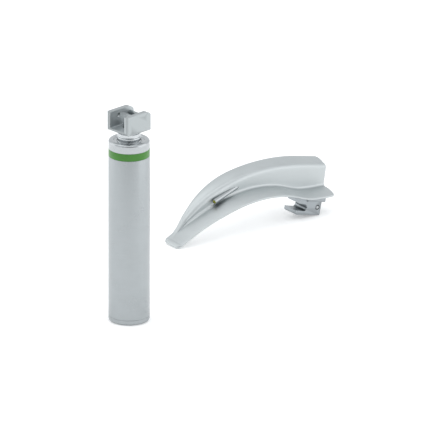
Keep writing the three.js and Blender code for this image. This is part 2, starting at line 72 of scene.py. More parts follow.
SEAT = 0.3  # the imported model's gap between pieces that rest on each other, in millimetres
FLAT_AREA = 14.0  # a face larger than this, in square millimetres, is a flat of a milled piece
NEARLY_SHARP = 0.05  # the radius that a tool leaves on a corner nobody breaks, in millimetres
COAT_ROUGHNESS = 0.12
CLOUDS = 90.0  # noise scale of the soft marks of handling and cleaning, about a centimetre across

Point2 = tuple[float, float]
Corner = tuple[float, float, float]
Object = bpy.types.Object
log = logging.getLogger("laryngoscope")


# ---------------------------------------------------------------- finishes


def linear(colour: str) -> tuple[float, float, float, float]:
    """An sRGB hex colour as linear RGBA.

    Args:
        colour: six hex digits.

    Returns:
        Red, green, blue and an alpha of one.
    """
    shares = [int(colour[i : i + 2], 16) / 255 for i in (0, 2, 4)]
    red, green, blue = (c / 12.92 if c <= 0.04045 else ((c + 0.055) / 1.055) ** 2.4 for c in shares)
    return red, green, blue, 1.0


def toned(colour: str, share: float) -> tuple[float, ...]:
    """A hex colour as linear RGBA, lighter or darker by a share of itself."""
    return (*(min(c * (1 + share), 1.0) for c in linear(colour)[:3]), 1.0)


def add_node(
    tree: bpy.types.NodeTree,
    kind: str,
    settings: dict[str, Any] | None = None,
    inputs: dict[str | int, Any] | None = None,
) -> bpy.types.Node:
    """Adds a node with its settings, and links or sets its inputs.

    Args:
        tree: the shader or geometry tree that gets the node.
        kind: the node's type name.
        settings: the node's own properties.
        inputs: socket name or number to a value, or to the output socket that feeds it.

    Returns:
        The new node.
    """
    node = tree.nodes.new(kind)
    for name, value in (settings or {}).items():
        setattr(node, name, value)
    for key, value in (inputs or {}).items():
        if isinstance(value, bpy.types.NodeSocket):
            tree.links.new(value, node.inputs[key])
        else:
            node.inputs[key].default_value = value
    return node


class Grain(Enum):
    """Which way a metal's fine marks run."""

    BLASTED = (1.0, 1.0, 1.0)
    TURNED = (0.04, 0.04, 1.0)
    DRAWN = (1.0, 1.0, 0.05)


@dataclass(frozen=True)
class Finish:
    """How a surface was made, and what that gives the eye.

    size is the grain's spacing and depth its height, both in millimetres. drift is how much the
    colour wanders from place to place, and worn how much brighter the edges are rubbed.
    """

    name: str
    colour: str
    roughness: float
    metallic: float = 0.0
    grain: Grain = Grain.BLASTED
    size: float = 0.6
    depth: float = 0.004
    spread: float = 0.08
    drift: float = 0.05
    worn: float = 0.0
    coat: float = 0.0
    sheen: float = 0.0
    transmission: float = 0.0
    glow: float = 0.0

    def material(self) -> bpy.types.Material:
        """The finish as a node material, made once.

        Returns:
            The material of that name.
        """
        made = bpy.data.materials.get(self.name)
        if made:
            return made
        made = bpy.data.materials.new(self.name)
        made.use_nodes = True
        tree = made.node_tree
        shader = tree.nodes["Principled BSDF"]
        for socket, value in {
            "Metallic": self.metallic,
            "Coat Weight": self.coat,
            "Coat Roughness": COAT_ROUGHNESS,
            "Sheen Weight": self.sheen,
            "Transmission Weight": self.transmission,
        }.items():
            shader.inputs[socket].default_value = value
        place = add_node(tree, "ShaderNodeTexCoord").outputs["Object"]
        pitch = 1 / (self.size * MM)
        stretch = tuple(pitch * share for share in self.grain.value)
        marks = add_node(tree, "ShaderNodeMapping", inputs={"Vector": place, "Scale": stretch})
        grain = {"Vector": marks.outputs[0], "Scale": 1.0, "Detail": 3.0, "Roughness": 0.6}
        fine = add_node(tree, "ShaderNodeTexNoise", inputs=grain).outputs[0]
        clouds = {"Vector": place, "Scale": CLOUDS, "Detail": 2.0, "Roughness": 0.5}
        slow = add_node(tree, "ShaderNodeTexNoise", inputs=clouds).outputs[0]
        mixing = {0: fine, 1: 0.5, 2: slow}
        both = add_node(tree, "ShaderNodeMath", {"operation": "MULTIPLY_ADD"}, mixing).outputs[0]
        self.colour_in(tree, shader, both)
        limits = {
            "Value": both,
            "From Min": 0.45,
            "From Max": 1.05,
            "To Min": max(self.roughness - self.spread, 0.02),
            "To Max": min(self.roughness + self.spread, 1.0),
        }
        rough = add_node(tree, "ShaderNodeMapRange", inputs=limits)
        tree.links.new(rough.outputs[0], shader.inputs["Roughness"])
        relief = {"Strength": 1.0, "Distance": self.depth * MM, "Height": fine}
        bump = add_node(tree, "ShaderNodeBump", inputs=relief)
        tree.links.new(bump.outputs[0], shader.inputs["Normal"])
        if self.glow:
            shader.inputs["Emission Color"].default_value = linear(self.colour)
            shader.inputs["Emission Strength"].default_value = self.glow
        return made

    def colour_in(
        self, tree: bpy.types.NodeTree, shader: bpy.types.Node, wander: bpy.types.NodeSocket
    ) -> None:
        """Colours the shader with clouds of a lighter and a darker tone, and rubbed edges.

        Args:
            tree: the material's tree.
            shader: its Principled shader.
            wander: a noise value round 0.75.
        """
        tones = add_node(tree, "ShaderNodeValToRGB", inputs={0: wander})
        first, last = tones.color_ramp.elements
        first.position, first.color = 0.55, toned(self.colour, -self.drift)
        last.position, last.color = 0.95, toned(self.colour, self.drift)
        result = tones.outputs[0]
        if self.worn:
            edge = add_node(tree, "ShaderNodeNewGeometry").outputs["Pointiness"]
            limits = {"Value": edge, "From Min": 0.52, "From Max": 0.6}
            rubbed = add_node(tree, "ShaderNodeMapRange", inputs=limits).outputs[0]
            mixing = {0: rubbed, 6: result, 7: toned(self.colour, self.worn)}
            result = add_node(tree, "ShaderNodeMix", {"data_type": "RGBA"}, mixing).outputs[2]
        tree.links.new(result, shader.inputs["Base Color"])


# Stainless steel, bead blasted and then vapour cleaned: a soft even grey with no direction.
SATIN_STEEL = Finish(
    "satin_stainless_steel", "c0c5c6", 0.45, 1.0, size=0.5, depth=0.003, drift=0.03, worn=0.05
)
# The head was blasted after its milling, which left it a shade darker than the blade.
HEAD_STEEL = Finish("blasted_head_steel", "989d9e", 0.32, 1.0, size=0.5, drift=0.04, worn=0.3)
# The block is an investment casting of the same steel, blasted rougher, so it looks darker.
CAST_STEEL = Finish("blasted_cast_steel", "8f9497", 0.4, 1.0, size=0.7, depth=0.006, worn=0.3)
# The handle's tube is brushed on a lathe, so its marks run round it.
BRUSHED_STEEL = Finish(
    "brushed_stainless_tube", "a8adaf", 0.32, 1.0, Grain.TURNED, 0.35, depth=0.003, drift=0.04
)
# Stainless steel straight from the lathe: brighter, with fine rings.
TURNED_STEEL = Finish(
    "turned_stainless_steel", "b5b9bb", 0.22, 1.0, Grain.TURNED, 0.25, 0.002, drift=0.03, worn=0.2
)
# The neck is the turned steel made lighter: painted light that lifts the shade in its groove and
# under the head, and brightens its bead.
NECK_PAINTED_LIGHT = Finish("turned_neck_painted_light", "c9cdcf", 0.22, 1.0, Grain.TURNED, 0.25, 0.002, drift=0.03)
# Stainless steel milled inside the channel, with a less metallic grey of its own tuned to the
# channel's shaded tone: painted light and shade for that recess.
CHANNEL_PAINTED_LIGHT = Finish(
    "channel_steel_painted_light", "b3b9bb", 0.4, 0.75, Grain.DRAWN, 0.4, depth=0.003, drift=0.08
)
# Painted shade for the jaw's seat and the relief over it: a dark copy of the steel that stands in for
# the shade in that recess.
JAW_PAINTED_SHADE = Finish("jaw_painted_shade", "6a7072", 0.3, 1.0, Grain.DRAWN, 0.3, 0.003, drift=0.1)
# Hardened steel ground to size: grey, with a fine sheen.
GROUND_STEEL = Finish("ground_pin_steel", "9aa0a1", 0.24, 1.0, Grain.DRAWN, 0.2, 0.002)
# Stainless steel polished to a near mirror.
POLISHED_STEEL = Finish(
    "polished_stainless_steel", "b0b4b6", 0.2, 1.0, size=0.4, depth=0.001, spread=0.04
)
SPRING_WIRE = Finish("drawn_spring_wire", "9aa0a4", 0.28, 1.0, Grain.DRAWN, 0.1, 0.002)
NICKEL_PLATE = Finish("nickel_plate", "cfd0cc", 0.22, 1.0, size=0.3, depth=0.001)
BRASS_CONTACT = Finish("turned_brass", "c2a04e", 0.3, 1.0, Grain.TURNED, 0.2, 0.002, drift=0.1)
# Aluminium anodised green over a fine turned surface: a deep colour under a clear oxide.
GREEN_ANODISED = Finish(
    "green_anodised_aluminium", "397a20", 0.4, 0.3, Grain.TURNED, 0.3, 0.002, drift=0.1, coat=0.3
)
WHITE_ACETAL = Finish("machined_white_acetal", "e8e6de", 0.5, size=0.3, depth=0.003)
SEAL_RUBBER = Finish("moulded_seal_rubber", "1c1c1c", 0.85, size=0.4, depth=0.005, sheen=0.2)
CELL_JACKET = Finish(
    "shrunk_cell_jacket", "3a4a63", 0.4, 0.1, size=1.5, depth=0.006, drift=0.12, coat=0.4
)
LENS_GLASS = Finish(
    "polished_lens_glass", "e6eef1", 0.05, size=1.0, depth=0.0004, spread=0.02, transmission=0.85
)
LED_RESIN = Finish(
    "cast_led_resin", "f3ecc4", 0.3, size=0.5, depth=0.002, drift=0.08, transmission=0.3
)
# Drawn glass fibres set in amber resin and ground flat.
FIBRE_RESIN = Finish("ground_fibre_resin", "5d5a17", 0.3, size=0.2, drift=0.2)
FIBRE_ENDS = Finish(
    "ground_fibre_ends", "a9ab45", 0.15, size=0.2, depth=0.001, drift=0.15, coat=0.5
)
WHITE_PAPER = Finish(
    "matt_white_paper", "f6f6f6", 0.9, size=2.0, depth=0.002, drift=0.01, glow=0.28
)


# ---------------------------------------------------------------- meshes


def piece_from(
    name: str, points: Iterable[Sequence[float]], faces: list[Sequence[int]], finish: Finish
) -> Object:
    """A mesh object at the origin from points in millimetres.

    Args:
        name: the piece's name.
        points: the vertices.
        faces: vertex numbers of each face.
        finish: what it is made of.

    Returns:
        The new object, with its faces turned outwards and shaded smooth.
    """
    mesh = bpy.data.meshes.new(name)
    mesh.from_pydata([Vector(p) * MM for p in points], [], faces)
    return piece_of(name, mesh, finish)


def piece_of(name: str, mesh: bpy.types.Mesh, finish: Finish) -> Object:
    """Links a mesh in metres as a tidy piece.

    Args:
        name: the piece's name.
        mesh: its closed mesh.
        finish: what it is made of.

    Returns:
        The new object.
    """
    face_outwards(mesh)
    if not mesh.materials:
        mesh.materials.append(finish.material())
    made = bpy.data.objects.new(name, mesh)
    bpy.context.scene.collection.objects.link(made)
    shade(mesh)
    return made


def face_outwards(mesh: bpy.types.Mesh) -> None:
    """Merges a closed mesh's doubles and turns its faces outwards.

    Args:
        mesh: the mesh that is changed.
    """
    shell = bmesh.new()
    shell.from_mesh(mesh)
    bmesh.ops.remove_doubles(shell, verts=shell.verts, dist=1e-7)
    bmesh.ops.recalc_face_normals(shell, faces=shell.faces)
    shell.to_mesh(mesh)
    shell.free()


def shade(mesh: bpy.types.Mesh, degrees: float = 32) -> None:
    """Shades a mesh smooth, with its edges sharp above an angle in degrees."""
    mesh.shade_smooth()
    mesh.set_sharp_from_angle(angle=math.radians(degrees))


def bake(piece: Object) -> None:
    """Turns what a piece's modifiers make into its own plain mesh.

    Args:
        piece: the piece that keeps the result and loses its modifiers.
    """
    graph = bpy.context.evaluated_depsgraph_get()
    graph.update()
    mesh = bpy.data.meshes.new_from_object(piece.evaluated_get(graph))
    piece.modifiers.clear()
    piece.data = mesh


def combine(piece: Object, tool: Object, operation: str) -> None:
    """Joins a tool to a piece, or cuts it away, and removes the tool.

    Args:
        piece: the piece that is changed.
        tool: the closed shape that changes it.
        operation: DIFFERENCE, UNION or INTERSECT.
    """
    step = piece.modifiers.new(operation.lower(), "BOOLEAN")
    step.operation = operation
    step.solver = "EXACT"
    step.material_mode = "TRANSFER"
    step.object = tool
    bake(piece)
    bpy.data.objects.remove(tool)


def cut(piece: Object, *tools: Object) -> None:
    """Cuts each tool away from a piece."""
    for tool in tools:
        combine(piece, tool, "DIFFERENCE")


def soften(piece: Object, width: float, steps: int = 3, angle: float = 28) -> None:
    """Rounds a piece's sharp edges.

    Args:
        piece: the piece.
        width: how far the rounding reaches, in millimetres.
        steps: facets across it.
        angle: edges sharper than this, in degrees, are rounded.
    """
    edge = piece.modifiers.new("edge", "BEVEL")
    edge.width = width * MM
    edge.segments = steps
    edge.limit_method = "ANGLE"
    edge.angle_limit = math.radians(angle)
    edge.use_clamp_overlap = True
    edge.miter_outer = "MITER_ARC"
    edge.harden_normals = True
    piece.data.shade_smooth()
    bake(piece)
    for polygon in piece.data.polygons:
        polygon.use_smooth = polygon.area < FLAT_AREA * MM * MM


def rounded(corners: Sequence[Corner], steps: int = 7, closed: bool = True) -> list[Point2]:
    """An outline whose corners are true arcs.

    Args:
        corners: (across, up, radius) of each corner, in order.
        steps: chords in each arc.
        closed: whether the last corner joins the first.

    Returns:
        The outline's points.
    """
    points: list[Point2] = []
    for i, (x, y, radius) in enumerate(corners):
        here = Vector((x, y))
        if radius <= 0 or (not closed and i in (0, len(corners) - 1)):
            points.append((x, y))
            continue
        before = Vector(corners[i - 1][:2]) - here
        after = Vector(corners[(i + 1) % len(corners)][:2]) - here
        half = before.angle(after) / 2
        reach = min(radius / math.tan(half), before.length * 0.499, after.length * 0.499)
        radius = reach * math.tan(half)
        before.normalize()
        after.normalize()
        centre = here + (before + after).normalized() * (radius / math.sin(half))
        start = here + before * reach - centre
        end = here + after * reach - centre
        first = math.atan2(start.y, start.x)
        sweep = (math.atan2(end.y, end.x) - first + math.pi) % (2 * math.pi) - math.pi
        for k in range(steps + 1):
            turn = first + sweep * k / steps
            points.append((centre.x + radius * math.cos(turn), centre.y + radius * math.sin(turn)))
    return points


def arc(x: float, y: float, radius: float, start: float, end: float, steps: int) -> list[Point2]:
    """Points of an arc about (x, y) between two angles in degrees."""
    angles = [math.radians(start + (end - start) * k / steps) for k in range(steps + 1)]
    return [(x + radius * math.cos(a), y + radius * math.sin(a)) for a in angles]


def lathe(name: str, profile: Sequence[Point2], finish: Finish, sides: int = SIDES) -> Object:
    """A profile turned about the handle's axis.

    Args:
        name: the piece's name.
        profile: a closed outline of (radius, height), or one that starts and ends on the axis.
        finish: what it is made of.
        sides: facets round it.

    Returns:
        The turned piece.
    """
    points: list[Sequence[float]] = []
    rings: list[list[int]] = []
    for radius, height in profile:
        first = len(points)
        if radius < TINY:
            points.append((0, 0, height))
            rings.append([first] * sides)
            continue
        for k in range(sides):
            angle = 2 * math.pi * k / sides
            points.append((radius * math.cos(angle), radius * math.sin(angle), height))
        rings.append(list(range(first, first + sides)))
    pairs = list(zip(rings, rings[1:] + rings[:1], strict=True))
    if profile[0][0] < TINY and profile[-1][0] < TINY:
        pairs.pop()
    faces: list[Sequence[int]] = []
    for low, high in pairs:
        for k in range(sides):
            after = (k + 1) % sides
            loop = dict.fromkeys((low[k], low[after], high[after], high[k]))
            if len(loop) > 2:
                faces.append(list(loop))
    return piece_from(name, points, faces, finish)


def prism(outline: Sequence[Point2], axis: str, start: float, end: float, finish: Finish) -> Object:
    """An outline pushed along an axis.

    Args:
        outline: points as (y, z) for axis "x", (x, z) for "y" and (x, y) for "z".
        axis: the axis it is pushed along.
        start: where it starts, in millimetres.
        end: where it ends.
        finish: what it is made of.

    Returns:
        The prism.
    """
    count = len(outline)
    at = "xyz".index(axis)
    points = [(*spot[:at], depth, *spot[at:]) for depth in (start, end) for spot in outline]
    sides = [(k, (k + 1) % count, (k + 1) % count + count, k + count) for k in range(count)]
    faces = [list(range(count)), list(range(count, 2 * count)), *sides]
    return piece_from("tool", points, faces, finish)


def rod(
    axis: str, radius: float, spot: Point2, start: float, end: float, finish: Finish
) -> Object:
    """A round bar along an axis, whose middle is at a spot of the other two axes."""
    return prism(arc(*spot, radius, 0, 360, FINE_SIDES)[:-1], axis, start, end, finish)


def move(piece: Object, place: Matrix) -> None:
    """Moves a piece's mesh.

    Args:
        piece: the piece.
        place: a turn and a shift in millimetres.
    """
    shift = place.copy()
    shift.translation = place.translation * MM
    piece.data.transform(shift)


def shift_by(x: float, y: float, z: float) -> Matrix:
    """A plain shift in millimetres."""
    return Matrix.Translation((x, y, z))


def turn_about(axis: str, degrees: float) -> Matrix:
    """A turn about an axis through the origin."""
    return Matrix.Rotation(math.radians(degrees), 4, axis)


def settle(piece: Object, body: str, slot: str, *nodes: str) -> Object:
    """Parents a finished piece to the body it rides on, and hides the nodes that it stands for.

    Args:
        piece: the finished piece.
        body: the body it moves with.
        slot: not used.
        nodes: the nodes that it replaces.

    Returns:
        The same piece.
    """
    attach(piece, body)
    if nodes:
        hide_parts(*nodes)
    return piece


def span(node: str) -> tuple[Vector, Vector]:
    """A node's lowest and highest corners in millimetres."""
    low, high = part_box(node)
    return low / MM, high / MM


def keep(node: str, finish: Finish) -> Object:
    """Gives a node that stays as it is its finish.

    Args:
        node: the node's name.
        finish: what it is made of.

    Returns:
        The node's own piece.
    """
    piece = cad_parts[node]
    piece.data.materials.clear()
    piece.data.materials.append(finish.material())
    return piece


# ---------------------------------------------------------------- shapes that follow a path


class Recipe:
    """A geometry tree with named inputs that ends in Realize Instances and Set Material."""

    def __init__(self, name: str, sizes: dict[str, str]) -> None:
        """Starts the tree.

        Args:
            name: the tree's name.
            sizes: input name to socket type.
        """
        self.tree = bpy.data.node_groups.new(name, "GeometryNodeTree")
        face = self.tree.interface
        face.new_socket("Geometry", in_out="INPUT", socket_type="NodeSocketGeometry")
        face.new_socket("Geometry", in_out="OUTPUT", socket_type="NodeSocketGeometry")
        kinds = {**sizes, "Finish": "NodeSocketMaterial"}
        self.keys = {
            key: face.new_socket(key, in_out="INPUT", socket_type=kind).identifier
            for key, kind in kinds.items()
        }
        self.given = self.tree.nodes.new("NodeGroupInput").outputs

    def add(
        self,
        kind: str,
        inputs: dict[str | int, Any] | None = None,
        out: str | int = 0,
        **settings: Any,
    ) -> bpy.types.NodeSocket:
        """Adds a node to the tree.

        Args:
            kind: the node's type name, without its family.
            inputs: what its inputs take.
            out: the output that is wanted.
            settings: the node's own properties.

        Returns:
            The output's socket.
        """
        family = "Shader" if "Math" in kind or "XYZ" in kind else "Geometry"
        return add_node(self.tree, f"{family}Node{kind}", settings, inputs).outputs[out]

    def calculate(self, operation: str, first: Any, second: Any) -> bpy.types.NodeSocket:
        """The result of a sum on two numbers or sockets."""
        return self.add("Math", {0: first, 1: second}, operation=operation)

    def end(self, geometry: bpy.types.NodeSocket) -> "Recipe":
        """Joins the last geometry to the tree's output.

        Args:
            geometry: what the tree makes.

        Returns:
            The finished recipe.
        """
        real = self.add("RealizeInstances", {0: geometry})
        dressed = self.add("SetMaterial", {0: real, 2: self.given["Finish"]})
        add_node(self.tree, "NodeGroupOutput", inputs={0: dressed})
        return self

    def make(
        self,
        name: str,
        finish: Finish,
        sizes: dict[str, Any],
        path: Sequence[Sequence[float]] = (),
    ) -> Object:
        """Runs the tree once.

        Args:
            name: the new piece's name.
            finish: what it is made of.
            sizes: a value for each named input.
            path: points of the line that the shape follows, in millimetres.

        Returns:
            The result as a plain mesh object.
        """
        line = bpy.data.meshes.new(name)
        links = [(k, k + 1) for k in range(len(path) - 1)]
        line.from_pydata([Vector(p) * MM for p in path], links, [])
        made = bpy.data.objects.new(name, line)
        bpy.context.scene.collection.objects.link(made)
        step = made.modifiers.new("recipe", "NODES")
        step.node_group = self.tree
        for key, value in {**sizes, "Finish": finish.material()}.items():
            step[self.keys[key]] = value
        bake(made)
        face_outwards(made.data)
        shade(made.data, 50)
        return made


@cache
def sweep_recipe() -> Recipe:
    """A round bar that follows the input line.

    Returns:
        The recipe, made once.
    """
    recipe = Recipe("bar_along_line", {"Radius": "NodeSocketFloat", "Sides": "NodeSocketInt"})
    given = recipe.given
    circle = recipe.add(
        "CurvePrimitiveCircle", {"Resolution": given["Sides"], "Radius": given["Radius"]}
    )
    line = recipe.add("MeshToCurve", {0: given["Geometry"]})
    bar = {"Curve": line, "Profile Curve": circle, "Fill Caps": True}
    return recipe.end(recipe.add("CurveToMesh", bar))


@cache
def coil_recipe() -> Recipe:
    """A wire wound about Z, whose radius may change from foot to head.

    Returns:
        The recipe, made once.
    """
    names = ("Turns", "Foot Radius", "Head Radius", "Height", "Wire")
    recipe = Recipe("wire_coil", dict.fromkeys(names, "NodeSocketFloat"))
    given = recipe.given
    winding = {
        "Resolution": 36,
        "Rotations": given["Turns"],
        "Start Radius": given["Foot Radius"],
        "End Radius": given["Head Radius"],
        "Height": given["Height"],
    }
    spiral = recipe.add("CurveSpiral", winding)
    wire = recipe.add("CurvePrimitiveCircle", {"Resolution": 12, "Radius": given["Wire"]})
    coil = {"Curve": spiral, "Profile Curve": wire, "Fill Caps": True}
    return recipe.end(recipe.add("CurveToMesh", coil))


@cache
def fibre_recipe() -> Recipe:
    """Ground ends of glass fibres, packed in a disc about Z.

    Returns:
        The recipe, made once.
    """
    names = ("Bundle", "Fibre", "Pitch")
    recipe = Recipe("packed_fibres", dict.fromkeys(names, "NodeSocketFloat"))
    given = recipe.given
    count = 13
    width = recipe.calculate("MULTIPLY", given["Pitch"], count - 1.0)
    height = recipe.calculate("MULTIPLY", width, math.sqrt(0.75))
    sizes = {"Size X": width, "Size Y": height, "Vertices X": count, "Vertices Y": count}
    grid = recipe.add("MeshGrid", sizes)
    # Every other row moves along by half a pitch, so that the fibres nest.
    row = recipe.calculate("MODULO", recipe.add("InputIndex"), 2.0)
    half = recipe.calculate("MULTIPLY", given["Pitch"], 0.5)
    aside = recipe.add("CombineXYZ", {"X": recipe.calculate("MULTIPLY", row, half)})
    nested = recipe.add("SetPosition", {"Geometry": grid, "Offset": aside})
    away = recipe.add("VectorMath", {0: recipe.add("InputPosition")}, "Value", operation="LENGTH")
    outside = recipe.calculate("GREATER_THAN", away, given["Bundle"])
    packed = recipe.add("DeleteGeometry", {"Geometry": nested, "Selection": outside})
    sizes = {"Vertices": 7, "Radius": given["Fibre"], "Depth": 0.4 * MM}
    fibre = recipe.add("MeshCylinder", sizes)
    return recipe.end(recipe.add("InstanceOnPoints", {"Points": packed, "Instance": fibre}))


@dataclass(frozen=True)
class Spring:
    """A wound wire spring."""

    foot_radius: float
    head_radius: float
    wire: float
    turns: float

    def wind(self, name: str, length: float, place: Matrix) -> Object:
        """Winds the spring.

        Args:
            name: the piece's name.
            length: how long it is over its wire, in millimetres.
            place: where the middle of its foot stands, with the spring along its Z.

        Returns:
            The spring.
        """
        sizes = {
            "Turns": self.turns,
            "Foot Radius": self.foot_radius * MM,
            "Head Radius": self.head_radius * MM,
            "Height": (length - 2 * self.wire) * MM,
            "Wire": self.wire * MM,
        }
        made = coil_recipe().make(name, SPRING_WIRE, sizes)
        move(made, place @ shift_by(0, 0, self.wire))
        return made


# ---------------------------------------------------------------- handle


@dataclass
class Grip:
    """The tube that holds the cells, with its base cap, colour ring and top collar."""

    wall: float = 0.7
    edge: float = 0.12
    close: float = 0.24  # the real joints are closed tighter than the model's clearance
    cap_round: float = 4.6
    cap_rim: float = 3.7
    cap_dish: float = 0.25
    cap_floor: float = 2.6
    plug_play: float = 0.35
    plug_wall: float = 1.35
    skirt_play: float = 0.4
    groove_above_rim: float = 1.5
    groove_half: float = 0.7
    groove_depth: float = 0.75
    shoulder: float = 2.4
    rim_width: float = 3.4
    dish: float = 0.8
    web: float = 4.1
    chamber: float = 6.3
    spigot: float = 8.3
    thread_depth: float = 0.3
    thread_pitch: float = 1.5
    threads: int = 2

    def build(self) -> list[Object]:
        """Builds the four shells."""
        return [self.tube(), self.cap(), self.ring(), self.collar()]

    def shell(
        self, name: str, node: str, bore: float, ends: tuple[int, int], finish: Finish
    ) -> Object:
        """A plain turned sleeve with softened rims.

        Args:
            name: the piece's name.
            node: the node whose box gives its size.
            bore: its inner radius.
            ends: whether it closes the joint below it and the one above.
            finish: what it is made of.

        Returns:
            The sleeve.
        """
        low, high = span(node)
        foot, top = low.z - self.close * ends[0], high.z + self.close * ends[1]
        corners = [
            (bore, foot, NEARLY_SHARP),
            (high.x, foot, self.edge),
            (high.x, top, self.edge),
            (bore, top, NEARLY_SHARP),
        ]
        return lathe(name, rounded(corners, 4), finish)

    def tube(self) -> Object:
        """The brushed tube.

        Returns:
            The tube.
        """
        bore = span("battery_tube")[1].x - self.wall
        made = self.shell("brushed_tube", "battery_tube", bore, (1, 1), BRUSHED_STEEL)
        return settle(made, "handle", "satin_steel", "battery_tube")

    def ring(self) -> Object:
        """The green colour ring, which shows that the handle takes fibre-light blades.

        Returns:
            The ring.
        """
        bore = span("green_ring")[1].x - self.wall - 0.1
        made = self.shell("colour_ring", "green_ring", bore, (0, 1), GREEN_ANODISED)
        return settle(made, "handle", "green_ring", "green_ring")

    def cap(self) -> Object:
        """The base cap, with its turned foot, thin seam, seal groove and threaded plug.

        Returns:
            The cap.
        """
        low, high = span("base_cap")
        radius = high.x
        plug = radius - self.wall - self.plug_play
        root = plug - self.thread_depth
        bore = plug - self.plug_wall
        bottom = plug - self.groove_depth
        groove = self.cap_rim + self.groove_above_rim
        below, above = groove - self.groove_half, groove + self.groove_half
        corners: list[Corner] = [
            (0, low.z + self.cap_dish, 0),
            (radius * 0.62, low.z + self.cap_dish, 0.1),
            (radius * 0.65, low.z, 0.2),
            (radius, low.z, self.cap_round),
            (radius, self.cap_rim, self.edge),
            (plug, self.cap_rim, NEARLY_SHARP),
            (plug, below, NEARLY_SHARP),
            (bottom, below, NEARLY_SHARP),
            (bottom, above, NEARLY_SHARP),
            (root, above, NEARLY_SHARP),
        ]
        half = self.thread_pitch / 2
        for turn in range(self.threads):
            foot = groove + 1.0 + turn * self.thread_pitch
            corners += [
                (root, foot, NEARLY_SHARP),
                (plug, foot + half * 0.6, 0.08),
                (plug, foot + half, 0.08),
                (root, foot + half * 1.6, NEARLY_SHARP),
            ]
        corners += [
            (root, high.z, 0.1),
            (bore, high.z, 0.1),
            (bore, self.cap_floor, 0.3),
            (0, self.cap_floor, 0),
        ]
        made = lathe("turned_base_cap", rounded(corners, 8, closed=False), BRUSHED_STEEL)
        return settle(made, "cap", "satin_steel", "base_cap")

    def collar(self) -> Object:
        """The top collar, with a rounded shoulder round a shallow dish.

        Returns:
            The collar.
        """
        low, high = span("top_collar")
        radius, top = high.x, high.z
        foot = span("green_ring")[1].z + SEAT
        skirt = radius - self.wall - self.skirt_play
        bore = skirt - self.wall
        rim = radius - self.rim_width
        web_top = span("hook_head")[0].z - SEAT
        web_foot = web_top - self.web
        corners: list[Corner] = [
            (bore, low.z, 0.1),
            (skirt, low.z, 0.1),
            (skirt, foot, NEARLY_SHARP),
            (radius, foot, self.edge),
            (radius, top, self.shoulder),
            (rim, top, 0.35),
            (rim - 0.5, top - self.dish, 0.35),
            (self.spigot, top - self.dish, 0.1),
            (self.spigot, web_top, NEARLY_SHARP),
            (self.chamber, web_top, NEARLY_SHARP),
            (self.chamber, web_foot, NEARLY_SHARP),
            (bore, web_foot, NEARLY_SHARP),
        ]
        made = lathe("turned_collar", rounded(corners, 10), TURNED_STEEL)
        return settle(made, "handle", "satin_steel", "top_collar")


@dataclass
class PowerPack:
    """Two cells between a coil spring and the top contact, in the tube."""

    edge: float = 1.2
    nub: float = 3.2
    nub_height: float = 1.5
    jacket_step: float = 0.35
    jacket_lip: float = 2.2
    foot_plate: float = 1.7
    groove: float = 2.5
    groove_depth: float = 0.3
    cell_spring: Spring = Spring(7.8, 3.4, 0.45, 4)

    def build(self) -> list[Object]:
        """Builds what is inside the tube.

        Returns:
            The two cells and the spring, and the nodes that stay as they are.
        """
        pieces = [self.cell(node) for node in ("battery_1", "battery_2")]
        pieces.append(self.spring())
        kept = {
            "spring_plate": NICKEL_PLATE,
            "contact_bush": WHITE_ACETAL,
            "top_contact": BRASS_CONTACT,
            "cap_seal": SEAL_RUBBER,
        }
        return pieces + [keep(node, finish) for node, finish in kept.items()]

    def cell(self, node: str) -> Object:
        """One cell, in a plain shrunk jacket with plated ends.

        Args:
            node: the cell's node.

        Returns:
            The cell.
        """
        low, high = span(node)
        radius = high.x
        can = high.z - self.nub_height
        foot = low.z + self.jacket_step
        corners: list[Corner] = [
            (0, low.z, 0),
            (radius - self.jacket_lip, low.z, 0.1),
            (radius - self.foot_plate, foot, 0.1),
            (radius, foot, self.edge),
            (radius, can, self.edge),
            (radius - self.jacket_lip, can, 0.2),
            (radius - self.groove, can - self.groove_depth, 0.1),
            (self.nub, can - self.groove_depth, 0.2),
            (self.nub, high.z, 0.5),
            (0, high.z, 0),
        ]
        profile = rounded(corners, 5, closed=False)
        made = lathe(f"jacketed_{node}", profile, CELL_JACKET, FINE_SIDES)
        made.data.materials.append(NICKEL_PLATE.material())
        for polygon in made.data.polygons:
            away = math.hypot(polygon.center.x, polygon.center.y) / MM
            polygon.material_index = int(away < radius - self.jacket_lip - 0.1)
        return settle(made, "handle", "cell_jacket", node)

    def spring(self) -> Object:
        """The cone spring that presses the cells upwards.

        Returns:
            The spring.
        """
        low, high = span("contact_spring")
        made = self.cell_spring.wind("cell_spring_wire", high.z - low.z, shift_by(0, 0, low.z))
        return settle(made, "handle", "spring_steel", "contact_spring")


